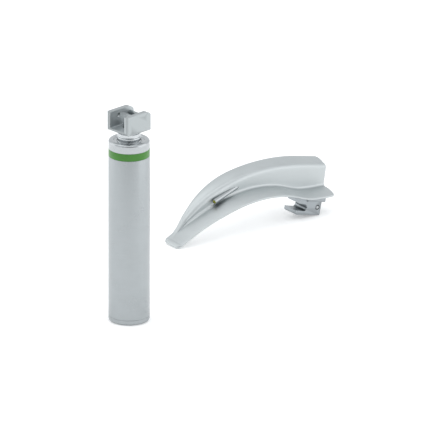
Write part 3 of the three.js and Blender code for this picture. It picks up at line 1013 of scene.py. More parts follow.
@dataclass
class HookHead:
    """The channel that the blade hooks into, on its turned neck."""

    width: float = 20.4
    length: float = 22.4
    channel: float = 13.6
    height: float = 13.3
    floor: float = 2.0
    corner: float = 0.9
    open_end: float = 1.1
    pin_end: float = 5.0
    foot_round: float = 1.3
    neck_height: float = 6.7
    neck_dish: float = 0.8
    bead_foot: float = 0.8
    bead_height: float = 1.5
    bead: float = 8.3
    groove: float = 7.4
    waist: float = 7.6
    flare: float = 9.2
    spigot: float = 8.0
    bore: float = 4.2
    bore_below_foot: float = 10.0
    floor_round: float = 0.5
    pin_radius: float = 1.6
    pin_play: float = 0.05
    blind: float = 2.5
    dimple: float = 2.2
    dimple_depth: float = 0.6
    dimple_place: Point2 = (-3.2, 9.6)
    edge: float = 0.2
    top: float = field(init=False)
    foot: float = field(init=False)

    def __post_init__(self) -> None:
        """Finds the head's heights in the frame."""
        self.top = span("hook_head")[1].z
        self.foot = self.top - self.height

    def build(self) -> list[Object]:
        """Builds the head and its hinge pin."""
        return [self.head(), self.pin()]

    def neck(self) -> Object:
        """The neck from its spigot up into the head's floor, with a bead round it.

        Returns:
            The neck, as a shape to join to the head.
        """
        low = span("hook_head")[0].z
        foot = self.foot
        shoulder = foot - self.neck_height
        dish = shoulder - self.neck_dish
        bead = shoulder + self.bead_foot
        buried = foot + 1
        corners: list[Corner] = [
            (0, low, 0),
            (self.spigot, low, 0.2),
            (self.spigot, dish - 0.3, NEARLY_SHARP),
            (self.groove, dish, 0.3),
            (self.groove, bead - 0.1, 0.3),
            (self.bead, bead + 0.1, 0.55),
            (self.bead, bead + self.bead_height, 0.6),
            (self.waist, bead + self.bead_height + 0.4, 0.8),
            (self.waist + 0.2, foot - 1.6, 1.4),
            (self.flare, foot + 0.1, 0.15),
            (self.flare, buried, 0),
            (0, buried, 0),
        ]
        # Its lighter steel is painted light for the shaded groove and the bead.
        return lathe("neck", rounded(corners, 8, closed=False), NECK_PAINTED_LIGHT)

    def solid(self) -> Object:
        """The head before its cuts: its side view crossed with its plan view.

        Returns:
            The solid head.
        """
        end, half = self.length / 2, self.width / 2
        side: list[Corner] = [
            (-end, self.foot, self.foot_round),
            (end, self.foot, self.foot_round),
            (end, self.top, self.pin_end),
            (-end, self.top, self.open_end),
        ]
        corner = self.corner
        plan = [
            (-half + corner, -end),
            (half - corner, -end),
            (half, -end + corner),
            (half, end - corner),
            (half - corner, end),
            (-half + corner, end),
            (-half, end - corner),
            (-half, -end + corner),
        ]
        made = prism(rounded(side, 10), "x", -half, half, HEAD_STEEL)
        made.name = made.data.name = "milled_hook_head"
        combine(made, prism(plan, "z", self.foot - 1, self.top + 1, HEAD_STEEL), "INTERSECT")
        return made

    def head(self) -> Object:
        """The head on its neck, less its channel, lamp bore, pin hole and dimples.

        Returns:
            The head.
        """
        end, half, gap = self.length / 2, self.width / 2, self.channel / 2
        floor, open_top = self.foot + self.floor, self.top + 3
        made = self.solid()
        corners: list[Corner] = [
            (-gap, floor, self.floor_round),
            (gap, floor, self.floor_round),
            (gap, open_top, 0),
            (-gap, open_top, 0),
        ]
        # The channel's faces take this tool's steel, whose grey is painted light and shade for the
        # recess.
        cut(made, prism(rounded(corners, 4), "y", -end - 1, end + 1, CHANNEL_PAINTED_LIGHT))
        combine(made, self.neck(), "UNION")
        bore_foot = self.foot - self.bore_below_foot
        cut(made, rod("z", self.bore, (0, 0), bore_foot, floor + 1, TURNED_STEEL))
        low, high = span("hinge_pin")
        middle = (low + high) / 2
        hole, reach = self.pin_radius + self.pin_play, gap + self.blind
        cut(made, rod("x", hole, (middle.y, middle.z), -half - 1, reach, HEAD_STEEL))
        along, up = self.dimple_place
        for hand in (-1, 1):
            across = hand * (gap + self.dimple_depth - self.dimple)
            centre = Vector((across, along, self.foot + up))
            cut(made, ball_mesh("tool", self.dimple, centre, HEAD_STEEL))
        soften(made, self.edge)
        return settle(made, "handle", "satin_steel", "hook_head")

    def pin(self) -> Object:
        """The ground hinge pin, with a turned chamfer at its shown end.

        Returns:
            The pin.
        """
        low, high = span("hinge_pin")
        middle = (low + high) / 2
        corners: list[Corner] = [
            (0, low.x, 0),
            (self.pin_radius, low.x, 0.3),
            (self.pin_radius, high.x, 0.2),
            (0, high.x, 0),
        ]
        profile = rounded(corners, 4, closed=False)
        made = lathe("ground_hinge_pin", profile, GROUND_STEEL, FINE_SIDES)
        move(made, shift_by(0, middle.y, middle.z) @ turn_about("Y", 90))
        return settle(made, "handle", "bright_steel", "hinge_pin")


def ball_mesh(name: str, radius: float, centre: Vector, finish: Finish) -> Object:
    """A smooth ball made of evenly spread faces.

    Args:
        name: the piece's name.
        radius: its radius in millimetres.
        centre: its middle.
        finish: what it is made of.

    Returns:
        The ball.
    """
    shell = bmesh.new()
    bmesh.ops.create_icosphere(shell, subdivisions=4, radius=radius * MM)
    bmesh.ops.translate(shell, vec=centre * MM, verts=shell.verts)
    mesh = bpy.data.meshes.new(name)
    shell.to_mesh(mesh)
    shell.free()
    return piece_of(name, mesh, finish)


@dataclass
class LampUnit:
    """The sprung lamp cartridge that the locked blade presses down."""

    barrel: float = 3.9
    flange: float = 5.6
    flange_height: float = 1.4
    stem: float = 2.5
    pocket: float = 3.05
    pocket_depth: float = 6.0
    rim: float = 1.2
    led: float = 2.6
    led_step: float = 0.5
    led_dome: float = 1.0
    dome_steps: int = 10
    lift_spring: Spring = Spring(4.3, 4.3, 0.4, 3.5)

    def build(self) -> list[Object]:
        """Builds the cartridge, its lamp, its lens and its spring."""
        return [self.cartridge(), self.lamp(), self.lens(), self.spring()]

    def cartridge(self) -> Object:
        """The turned barrel with its flange and contact stem.

        Returns:
            The barrel.
        """
        low, high = span("lamp_cartridge")
        flange = span("lamp_spring")[1].z + SEAT
        flange_top = flange + self.flange_height
        pocket = span("lamp_lens")[1].z - self.pocket_depth
        corners: list[Corner] = [
            (0, low.z, 0),
            (self.stem, low.z, 0.4),
            (self.stem, flange, 0.1),
            (self.flange, flange, 0.2),
            (self.flange, flange_top, 0.2),
            (self.barrel, flange_top, 0.1),
            (self.barrel, high.z, 0.5),
            (self.pocket, high.z, 0.15),
            (self.pocket, pocket, 0.1),
            (0, pocket, 0),
        ]
        made = lathe("turned_lamp_barrel", rounded(corners, 5, closed=False), POLISHED_STEEL, 96)
        return settle(made, "lamp", "bright_steel", "lamp_cartridge")

    def lamp(self) -> Object:
        """The lamp's cast resin body with its domed top.

        Returns:
            The lamp.
        """
        low, high = span("led_lamp")
        step, neck = high.z - self.led_dome, self.led - self.led_step
        corners: list[Corner] = [
            (0, low.z, 0),
            (self.led, low.z, 0.1),
            (self.led, step, 0.1),
            (neck, step, 0.1),
            (neck, high.z, 0.9),
            (0, high.z, 0),
        ]
        made = lathe("cast_lamp", rounded(corners, 6, closed=False), LED_RESIN, FINE_SIDES)
        return settle(made, "lamp", "led_body", "led_lamp")

    def lens(self) -> Object:
        """The domed glass lens.

        Returns:
            The lens.
        """
        low, high = span("lamp_lens")
        radius = high.x
        angles = [k * math.pi / (2 * self.dome_steps) for k in range(self.dome_steps)]
        dome = [(radius * math.cos(a), high.z - self.rim * (1 - math.sin(a))) for a in angles]
        profile = [(0.0, low.z), (radius - 0.1, low.z), (radius, low.z + 0.1), *dome, (0.0, high.z)]
        made = lathe("domed_lens", profile, LENS_GLASS, FINE_SIDES)
        return settle(made, "lamp", "lens_glass", "lamp_lens")

    def spring(self) -> Object:
        """The spring that lifts the cartridge.

        Returns:
            The spring.
        """
        low, high = span("lamp_spring")
        made = self.lift_spring.wind("lamp_spring_wire", high.z - low.z, shift_by(0, 0, low.z))
        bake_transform(made)
        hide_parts("lamp_spring")
        return made


# ---------------------------------------------------------------- blade

BLADE_PLACE = shift_by(-69.8, 248.7, 0) @ turn_about("Z", 262)


def smooth_line(points: np.ndarray, shares: np.ndarray) -> np.ndarray:
    """Points on the centripetal curve through given points.

    Args:
        points: (n, 3) points that the curve passes.
        shares: places along it, from 0 to 1, an equal part for each stretch.

    Returns:
        One row for each share.
    """
    found = []
    last = len(points) - 1
    for share in shares:
        p = last * min(max(share, 0.0), 1.0)
        i = min(int(p), last - 1)
        w = p - i
        p1, p2 = points[i], points[i + 1]
        p0 = points[i - 1] if i > 0 else 2 * p1 - p2
        p3 = points[i + 2] if i + 2 <= last else 2 * p2 - p1
        stretches = ((p0, p1), (p1, p2), (p2, p3))
        d0, d1, d2 = (math.sqrt(float(np.linalg.norm(b - a))) for a, b in stretches)
        t1 = ((p1 - p0) / d0 - (p2 - p0) / (d0 + d1) + (p2 - p1) / d1) * d1
        t2 = ((p2 - p1) / d1 - (p3 - p1) / (d1 + d2) + (p3 - p2) / d2) * d1
        c2 = 3 * (p2 - p1) - 2 * t1 - t2
        c3 = 2 * (p1 - p2) + t1 + t2
        found.append(p1 + t1 * w + c2 * w * w + c3 * w**3)
    return np.array(found)


def smoothstep(value: float, low: float, high: float) -> float:
    """Rises smoothly from 0 at low to 1 at high."""
    share = min(max((value - low) / (high - low), 0.0), 1.0)
    return share * share * (3 - 2 * share)


def directions(line: Sequence[Point2]) -> list[Vector]:
    """Which way a line runs at each of its points.

    Args:
        line: the line's points.

    Returns:
        A unit vector for each point.
    """
    last = len(line) - 1
    pairs = ((line[max(k - 1, 0)], line[min(k + 1, last)]) for k in range(last + 1))
    return [Vector((b[0] - a[0], b[1] - a[1])).normalized() for a, b in pairs]


def web_rise(low: np.ndarray, high: np.ndarray) -> Vector:
    """Which way the web rises from the spatula's root to its top."""
    return Vector((high[0] - low[0], 0, high[2] - low[2])).normalized()


@dataclass(frozen=True)
class Station:
    """One section of the blade.

    low and high are (along, up) at the spatula's root and at the web's top; spatula and flange
    are the widths there.
    """

    low: Point2
    spatula: float
    high: Point2
    flange: float


@dataclass
class BladePlate:
    """The bent sheet: a flange on top, a web, and the spatula that lifts the tongue."""

    thickness: float = 1.6
    bend: float = 2.6
    spatula_drop: float = 2.0
    tip_drop: float = 0.9
    flange_rise: float = 1.5
    heel_rise: float = 0.8
    heel_corner: float = 4.2
    flange_corner: float = 2.2
    flange_skew: float = 0.14
    tip_corner: float = 3.4
    flat_tip: Point2 = (5.5, 10.5)
    rows: int = 190
    bead: float = 0.35
    bead_reach: float = 3.4
    flange_chords: int = 8
    bend_chords: int = 9
    web_chords: int = 5
    spatula_chords: int = 10
    edge_points: int = 7
    stations: tuple[Station, ...] = (
        Station((-0.9, 13.7), 14.7, (-3.4, 28.9), 12),
        Station((21, 15.8), 16, (22, 34.0), 12.3),
        Station((40, 22.0), 16, (42, 36.1), 12.3),
        Station((57, 24.3), 16, (60, 35.7), 12.3),
        Station((76.5, 22.9), 15.6, (79, 32.0), 12.1),
        Station((97, 17.0), 14.4, (98.5, 24.8), 8.6),
        Station((112, 10.9), 14, (112.5, 15.5), 5.2),
        Station((121, 5.9), 13.4, (121, 6.9), 3.6),
        Station((130.2, 1.5), 13.2, (130.2, 1.55), 3.6),
    )

    @property
    def length(self) -> float:
        """How far along the tip is."""
        return self.stations[-1].low[0]

    def rails(self, shares: np.ndarray) -> tuple[np.ndarray, np.ndarray]:
        """The spatula's root and the web's top at places along the blade.

        Args:
            shares: the places, from 0 at the heel to 1 at the tip.

        Returns:
            Rows of along, spatula's width and up, and rows of along, flange's width and up.
        """
        low = np.array([(s.low[0], s.spatula, s.low[1]) for s in self.stations], float)
        high = np.array([(s.high[0], s.flange, s.high[1]) for s in self.stations], float)
        lows, highs = smooth_line(low, shares), smooth_line(high, shares)
        # Near the tip the web sinks into the spatula and leaves one flat plate.
        for root, top in zip(lows, highs, strict=True):
            stand = smoothstep(self.length - root[0], *self.flat_tip)
            level = root + [0, 0, 0.1]
            top[[0, 2]] = (level + (top - level) * stand)[[0, 2]]
        return lows, highs

    @staticmethod
    def corner_cut(distance: float, radius: float) -> float:
        """How much a rounded corner takes off a width.

        Args:
            distance: how far the place is from the end.
            radius: the corner's radius.

        Returns:
            What is cut away there.
        """
        if distance >= radius:
            return 0.0
        return radius - math.sqrt(max(0.0, radius**2 - (radius - distance) ** 2))

    def middle_line(self, low: np.ndarray, high: np.ndarray) -> list[Point2]:
        """The sheet's middle line across one section, from the flange's edge to the spatula's.

        Args:
            low: the spatula's root, with its width in the second place.
            high: the web's top, with the flange's width in the second place.

        Returns:
            Points as (across, up) from the spatula's root.
        """
        height = math.hypot(high[0] - low[0], high[2] - low[2])
        bend = min(self.bend, height * 0.45)
        past = low[0] - self.stations[0].low[0]
        left = self.length - low[0]
        tip = self.corner_cut(left, self.tip_corner)
        corner = tip + self.corner_cut(past, self.heel_corner)
        trim = self.thickness / 2
        web = -trim
        flange = max(high[1] - tip - self.corner_cut(past, self.flange_corner) - trim, bend + 0.6)
        spatula = low[1] - corner - trim
        fade = smoothstep(left, 0, 45)
        drop = self.tip_drop + (self.spatula_drop - self.tip_drop) * fade
        rise = self.flange_rise + self.heel_rise * (1 - smoothstep(low[0], 20, 60))
        line: list[Point2] = []
        for share in np.linspace(1, 0, self.flange_chords + 1):
            across = web - bend + (bend - web - flange) * share
            line.append((across, height + fade * rise * math.sin(share * math.pi / 2)))
        line += arc(web - bend, height - bend, bend, 90, 0, self.bend_chords)[1:]
        for share in np.linspace(0, 1, self.web_chords + 1)[1:-1]:
            line.append((web, height - bend + (2 * bend - height) * share))
        line += arc(web + bend, bend, bend, 180, 270, self.bend_chords)
        for share in np.linspace(0, 1, self.spatula_chords + 1)[1:]:
            line.append((web + bend + (spatula - web - bend) * share, -drop * share * share))
        return line

    def rings(self) -> list[list[Vector]]:
        """Closed rings of points round the sheet, from heel to tip.

        Returns:
            For each row, its points: over the upper side, round one edge, back along the lower
            side, and round the other edge.
        """
        half = self.thickness / 2
        whole = 2 * math.pi
        inner = [u - 0.75 * math.sin(whole * u) / whole for u in np.linspace(0, 1, self.rows)]
        # The last rows at each end close in to a round edge, as far off as its radius asks.
        bit = 0.001
        low, _ = self.rails(np.array([0.0, bit, 1 - bit, 1.0]))
        steps = (low[1] - low[0], low[3] - low[2])
        paces = [float(np.linalg.norm(step[[0, 2]])) / bit for step in steps]
        turns = [math.radians(a) for a in (12, 30, 50, 70)]
        starts = [(half * (1 - math.cos(a)) / paces[0], math.sin(a)) for a in turns]
        ends = [(1 - half * (1 - math.cos(a)) / paces[1], math.sin(a)) for a in turns]
        first = half / paces[0]
        last = 1 - half / paces[1]
        rows = starts + [(min(max(u, first), last), 1.0) for u in inner] + ends[::-1]
        rows = [row for k, row in enumerate(rows) if k == 0 or row[0] > rows[k - 1][0] + TINY]
        lows, highs = self.rails(np.array([u for u, _ in rows]))
        thick = [share for _, share in rows]
        return [self.ring(*section) for section in zip(lows, highs, thick, strict=True)]

    def ring(self, low: np.ndarray, high: np.ndarray, share: float) -> list[Vector]:
        """One closed ring.

        Args:
            low: the spatula's root with its width.
            high: the web's top with the flange's width.
            share: how much of the thickness is left here.

        Returns:
            The ring's points in the blade's frame.
        """
        line = self.middle_line(low, high)
        along = directions(line)
        rise = web_rise(low, high)
        half = self.thickness / 2 * share
        near = (self.length - low[0]) / self.bead_reach
        swell = self.bead * math.sin(math.pi * near) ** 2 * share if 0 < near < 1 else 0.0
        skew = self.flange_skew * (1 - smoothstep(low[0], 0, 25))

        def at(k: int, out: float, on: float) -> Vector:
            """A point beside the middle line.

            Args:
                k: the line's point that it is beside.
                out: how far it is out of the upper side.
                on: how far it is on past that point.

            Returns:
                The point in the blade's frame.
            """
            y = line[k][0] - along[k].y * out + along[k].x * on
            up = line[k][1] + along[k].x * out + along[k].y * on
            return Vector((low[0] + rise.x * up + max(-y, 0) * skew, y, low[2] + rise.z * up))

        last = len(line) - 1
        top = half + swell
        upper = [at(k, top, 0) for k in range(last + 1)]
        lower = [at(k, -half, 0) for k in range(last, -1, -1)]
        far_edge, near_edge = [], []
        for j in range(1, self.edge_points + 1):
            turn = math.pi * j / (self.edge_points + 1)
            out, on = math.cos(turn), half * math.sin(turn)
            far_edge.append(at(last, (top if out > 0 else half) * out, on))
            near_edge.append(at(0, -(half if out > 0 else top) * out, -on))
        return upper + far_edge + lower + near_edge

    def plate(self, room: Object) -> Object:
        """The finished plate, with the light guide's slot cut through its web.

        Args:
            room: the shape that the guide and its clearance take.

        Returns:
            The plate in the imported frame.
        """
        rings = self.rings()
        count = len(rings[0])
        edge = self.edge_points
        faces: list[Sequence[int]] = []
        for a in range(0, (len(rings) - 1) * count, count):
            for k in range(count):
                after = (k + 1) % count
                faces.append((a + k, a + after, a + count + after, a + count + k))
        # Each end is closed by strips between the upper and lower sides.
        wide = count // 2 - edge
        for start in (0, (len(rings) - 1) * count):
            for k in range(wide - 1):
                below = start + 2 * wide + edge - 1 - k
                faces.append((start + k, start + k + 1, below - 1, below))
            faces.append([start + k for k in range(wide - 1, wide + edge + 1)])
            faces.append([start + (2 * wide + edge - 1 + k) % count for k in range(edge + 2)])
        points = [p for ring in rings for p in ring]
        made = piece_from("bent_blade_plate", points, faces, SATIN_STEEL)
        cut(made, room)
        shade(made.data, 40)
        move(made, BLADE_PLACE)
        return settle(made, "blade", "satin_steel", "blade")

    def underside(self, sink: float) -> Object:
        """A block of space above the spatula's underside.

        Args:
            sink: how far the space starts inside the sheet, in millimetres.

        Returns:
            The closed space, from the heel to the middle of the blade.
        """
        out = -self.thickness / 2 + sink
        # The spatula and the bend below the web, but for the bend's first points.
        wanted = self.spatula_chords + self.bend_chords - 1
        outline: list[list[Vector]] = []
        for low, high in zip(*self.rails(np.linspace(0, 0.42, 60)), strict=True):
            full = np.array([low[0], self.stations[1].spatula, low[2]])
            line = self.middle_line(full, high)[-wanted:]
            rise = web_rise(low, high)
            row = []
            for (y, up), along in zip(line, directions(line), strict=True):
                y, up = y - along.y * out, up + along.x * out
                row.append(Vector((low[0] + rise.x * up, y, low[2] + rise.z * up)))
            row.insert(0, row[0] + Vector((0, -4, 0)))
            row.append(row[-1] + Vector((0, 6, -1.2)))
            outline.append(row)
        outline.insert(0, [p + Vector((-8, 0, -0.8)) for p in outline[0]])
        count = len(outline[0])
        layer = len(outline) * count
        points = [p for row in outline for p in row]
        points += [p + Vector((0, 0, 60)) for p in points]
        faces: list[Sequence[int]] = []
        for row in range(len(outline) - 1):
            for a in range(row * count, row * count + count - 1):
                loop = (a, a + 1, a + count + 1, a + count)
                faces += [loop, tuple(p + layer for p in loop)]
        rim = (
            list(range(count))
            + [row * count + count - 1 for row in range(1, len(outline))]
            + [layer - 1 - k for k in range(1, count)]
            + [row * count for row in range(len(outline) - 2, 0, -1)]
        )
        faces += [(a, b, b + layer, a + layer) for a, b in zip(rim, rim[1:] + rim[:1], strict=True)]
        return piece_from("tool", points, faces, SATIN_STEEL)


@dataclass
class HookBlock:
    """The block under the blade's heel, whose open jaw takes the head's hinge pin."""

    place: tuple[float, float, float] = (12.3, 6.9, 0)
    pitch: float = 12.5
    width: float = 13.0
    step: float = 9.4
    overhang: float = 1.1
    shoulder_from: float = -2.8
    shoulder_to: float = 12.9
    seat: float = 14.1
    pin_height: float = 4.4
    slot: float = 1.75
    finger: float = 6.8
    finger_rise: float = 0.4
    finger_nose: float = 1.3
    face_top: float = 7.1
    face_lean: float = 0.6
    jaw_reach: float = 5.2
    jaw_rise: float = 0.9
    relief: tuple[Point2, ...] = ((0.07, 4.85), (-0.35, 5.0), (-0.3, 5.6), (0.27, 5.75))
    let_in: float = 0.12
    ball: float = 1.5
    proud: float = 0.6
    ball_place: Point2 = (3.2, 5.4)
    ball_bore: float = 1.7
    edge: float = 0.22
    lamp_axis: float = 6.4
    inlet: float = 1.8
    detent_spring: Spring = Spring(0.85, 0.85, 0.2, 6.0)

    def frame(self) -> Matrix:
        """From the block's frame, forward from its rear and up from its foot, to the blade's."""
        return Matrix.Translation(self.place) @ turn_about("Y", -self.pitch)

    def at(self, forward: float, up: float) -> Point2:
        """A place in the block as (along, up) of the blade."""
        spot = self.frame() @ Vector((forward, 0, up))
        return spot.x, spot.z

    def side(self) -> list[Point2]:
        """The block's outline from the side, with the jaw's round seat and a relief over it.

        Returns:
            Points of (forward, up).
        """
        tip = self.seat + self.finger
        back = self.seat - self.slot
        nose = self.finger_nose
        reach = self.seat + self.jaw_reach
        return [
            (0, 0),
            (tip - nose, 0),
            *arc(tip - nose, nose, nose, -90, 0, 5)[1:],
            (tip, self.pin_height - self.slot + self.finger_rise),
            *arc(self.seat, self.pin_height, self.slot, -90, -180, 12),
            *((back + out, up) for out, up in self.relief),
            (back + self.face_lean, self.face_top),
            (reach, self.face_top + self.jaw_rise),
            (reach, self.step * 3),
            (0, self.step * 3),
        ]

    def build(self, plate: BladePlate, room: Object) -> list[Object]:
        """Builds the block, its two detent balls and the spring between them.

        Args:
            plate: the sheet whose underside the block meets.
            room: the shape that the light guide takes.

        Returns:
            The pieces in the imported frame.
        """
        made = self.block(plate, room)
        balls = [self.detent("near", 1), self.detent("far", -1)]
        return [made, *balls, self.spring()]

    def block(self, plate: BladePlate, room: Object) -> Object:
        """The cast block, with its shoulder, ball bore and light inlet.

        Args:
            plate: the sheet whose underside the block meets.
            room: the shape that the light guide takes.

        Returns:
            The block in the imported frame.
        """
        half = self.width / 2
        made = prism(self.side(), "y", -half, half, CAST_STEEL)
        made.name = made.data.name = "milled_hook_block"
        reach = self.seat + self.finger + 1
        plan = rounded([(0, -half, 0.8), (reach, -half, 0), (reach, half, 0), (0, half, 0.8)], 5)
        combine(made, prism(plan, "z", -1, self.step * 4, CAST_STEEL), "INTERSECT")
        wide = half + self.overhang
        corners: list[Corner] = [
            (self.shoulder_from, -wide, 2),
            (self.shoulder_to, -wide, 0.6),
            (self.shoulder_to, wide, 0.6),
            (self.shoulder_from, wide, 2),
        ]
        shoulder = prism(rounded(corners, 6), "z", self.step, self.step * 3, CAST_STEEL)
        combine(made, shoulder, "UNION")
        cut(made, rod("y", self.ball_bore, self.ball_place, -half - 1, half + 1, CAST_STEEL))
        cut(made, rod("z", self.inlet, (self.lamp_axis, 0), -1, 1, CAST_STEEL))
        move(made, self.frame())
        cut(made, room, plate.underside(self.let_in))
        self.drop_offcuts(made)
        soften(made, self.edge)
        self.paint_jaw_shade(made)
        move(made, BLADE_PLACE)
        return settle(made, "blade", "satin_steel", "hook_block")

    def paint_jaw_shade(self, piece: Object) -> None:
        """Paints shade on the jaw's seat and its relief with a dark steel, and leaves the rest
        blasted.

        Args:
            piece: the block in the blade's frame.
        """
        back = self.frame().inverted()
        # The dark steel is painted shade for the recess of the seat and its relief.
        shade_slot = len(piece.data.materials)
        piece.data.materials.append(JAW_PAINTED_SHADE.material())
        depth = (self.seat - self.slot - 0.5, self.seat + 0.8)
        seat = (self.pin_height - self.slot - 0.1, self.pin_height - self.slot * 0.45)
        relief = (self.relief[0][1] - 0.05, self.relief[-1][1] + 0.05)
        for polygon in piece.data.polygons:
            spot = back @ (polygon.center / MM)
            inside = depth[0] < spot.x < depth[1] and abs(spot.y) < self.width / 2 - 0.05
            if inside and any(low < spot.z < high for low, high in (seat, relief)):
                polygon.material_index = shade_slot

    def drop_offcuts(self, piece: Object) -> None:
        """Keeps only the lowest of a piece's separate parts.

        Args:
            piece: the piece that is changed.
        """
        shell = bmesh.new()
        shell.from_mesh(piece.data)
        left = set(shell.verts)
        islands = []
        while left:
            island = set()
            edge = {left.pop()}
            while edge:
                island |= edge
                edge = {e.other_vert(v) for v in edge for e in v.link_edges} - island
            left -= island
            islands.append(island)
        islands.sort(key=lambda island: min(v.co.z for v in island))
        for island in islands[1:]:
            bmesh.ops.delete(shell, geom=list(island), context="VERTS")
        shell.to_mesh(piece.data)
        shell.free()

    def detent(self, side: str, hand: int) -> Object:
        """One detent ball, which snaps into a dimple of the head.

        Args:
            side: near or far.
            hand: 1 for the near side and -1 for the far one.

        Returns:
            The ball.
        """
        out = hand * (self.width / 2 + self.proud - self.ball)
        forward, up = self.ball_place
        centre = self.frame() @ Vector((forward, out, up))
        made = ball_mesh(f"ground_ball_{side}", self.ball, centre, POLISHED_STEEL)
        move(made, BLADE_PLACE)
        return settle(made, f"ball_{side}", "bright_steel", f"detent_ball_{side}")

    def spring(self) -> Object:
        """The small spring that pushes the balls apart.

        Returns:
            The spring.
        """
        forward, up = self.ball_place
        # The balls may still travel, so the spring stops short of them.
        length = self.width + 2 * self.proud - 4 * self.ball - 2 * (0.5 + SEAT)
        lying = shift_by(forward, 0, up) @ turn_about("X", 90) @ shift_by(0, 0, -length / 2)
        place = BLADE_PLACE @ self.frame() @ lying
        made = self.detent_spring.wind("detent_spring_wire", length, place)
        return settle(made, "blade", "spring_steel", "detent_spring")


@dataclass
class LightGuide:
    """The tube of glass fibres that carries light from the block's foot to the blade's side."""

    outer: float = 1.65
    bore: float = 1.42
    core: float = 1.39
    sides: int = 40
    core_sides: int = 32
    foot_gap: float = 0.3
    slot_gap: float = 0.12
    edge: float = 0.08
    first_bend: Point2 = (0.2, 0.35)
    last_bend: Point2 = (1.6, 0.68)
    out_of_block: tuple[Corner, ...] = ((0, -2.8, 0), (2.6, -7, 1.6))
    reach_web: Point2 = (11, 9.5)
    beside_web: float = -3.7
    under_flange: tuple[Corner, ...] = ((44, -3.7, 26.8), (60, -3.3, 29.8))
    slope: Corner = (69, -2.0, 28.6)
    end: Corner = (92.1, 2.4, 23.25)
    fibres: tuple[float, float, float] = (1.2, 0.085, 0.19)
    core_sink: float = 0.12
    fibre_sink: float = 0.27
    steps: int = 150

    def path(self, block: HookBlock) -> np.ndarray:
        """The guide's middle line in the blade's frame.

        It rises in the block, bends out of its side, runs behind the web under the flange, and so
        comes forward through the web in one straight slope.

        Args:
            block: the block that holds its foot.

        Returns:
            Points from the lamp to the lit end.
        """
        foot = block.at(block.lamp_axis, self.foot_gap)
        rise, turn = (
            block.at(block.lamp_axis + forward, block.step * share)
            for forward, share in (self.first_bend, self.last_bend)
        )
        middle = block.place[1]
        forward, up = self.reach_web
        slope, end = np.array(self.slope), np.array(self.end)
        bends = [
            (foot[0], middle, foot[1]),
            (rise[0], middle, rise[1]),
            *((turn[0] + x, middle + y, turn[1] + z) for x, y, z in self.out_of_block),
            (turn[0] + forward, self.beside_web, turn[1] + up),
            *self.under_flange,
            slope,
            (slope + end) / 2,
            end,
        ]
        return smooth_line(np.array(bends, float), np.linspace(0, 1, self.steps))

    def bar(
        self, name: str, radius: float, sides: int, finish: Finish, path: Sequence[np.ndarray]
    ) -> Object:
        """A round bar along a path.

        Args:
            name: its name.
            radius: its radius in millimetres.
            sides: facets round it.
            finish: what it is made of.
            path: its middle line.

        Returns:
            The bar.
        """
        return sweep_recipe().make(name, finish, {"Radius": radius * MM, "Sides": sides}, path)

    def room(self, block: HookBlock) -> Object:
        """The space that the guide takes, with its clearance.

        Args:
            block: the block that holds its foot.

        Returns:
            A tool to cut that space with.
        """
        path = self.path(block)
        ahead = path[-1] + (path[-1] - path[-2]) * 0.5
        return self.bar("tool", self.outer + self.slot_gap, self.sides, SATIN_STEEL, [*path, ahead])

    def build(self, block: HookBlock) -> list[Object]:
        """Builds the tube, its fibre bundle and the fibres' ground ends.

        Args:
            block: the block that holds its foot.

        Returns:
            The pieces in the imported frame.
        """
        path = self.path(block)
        end = path[-1]
        tube = self.bar("polished_guide_tube", self.outer, self.sides, POLISHED_STEEL, path)
        past = [2 * path[0] - path[1], *path, 2 * end - path[-2]]
        cut(tube, self.bar("tool", self.bore, self.core_sides, POLISHED_STEEL, past))
        soften(tube, self.edge, 2, 50)
        ahead = end - path[-2]
        ahead /= np.linalg.norm(ahead)
        inside = [*path[1:-1], end - ahead * self.core_sink]
        core = self.bar("fibre_bundle_core", self.core, self.core_sides, FIBRE_RESIN, inside)
        names = ("Bundle", "Fibre", "Pitch")
        sizes = {name: size * MM for name, size in zip(names, self.fibres, strict=True)}
        ends = fibre_recipe().make("ground_fibre_faces", FIBRE_ENDS, sizes)
        facing = Vector(ahead).to_track_quat("Z", "Y").to_matrix().to_4x4()
        move(ends, shift_by(*(end - ahead * self.fibre_sink)) @ facing)
        for piece in (tube, core, ends):
            move(piece, BLADE_PLACE)
        settle(tube, "blade", "bright_steel", "light_guide_tube")
        settle(core, "blade", "fibre_glass", "fibre_bundle")
        settle(ends, "blade", "fibre_glass")
        return [tube, core, ends]


@dataclass
class Blade:
    """The whole blade: sheet, hook-on block and light guide."""

    plate: BladePlate = field(default_factory=BladePlate)
    block: HookBlock = field(default_factory=HookBlock)
    guide: LightGuide = field(default_factory=LightGuide)

    def build(self) -> list[Object]:
        """Builds the blade's pieces.

        Returns:
            The sheet, the block with its balls and spring, and the light guide.
        """
        sheet = self.plate.plate(self.guide.room(self.block))
        block = self.block.build(self.plate, self.guide.room(self.block))
        return [sheet, *block, *self.guide.build(self.block)]


# ---------------------------------------------------------------- studio


@dataclass(frozen=True)
class SoftBox:
    """A soft box: where it stands from the object, its width and height in metres, and its power.

    The place is to the camera's right, ahead of it and up, in metres.
    """

    name: str
    place: Corner
    size: Point2
    power: float


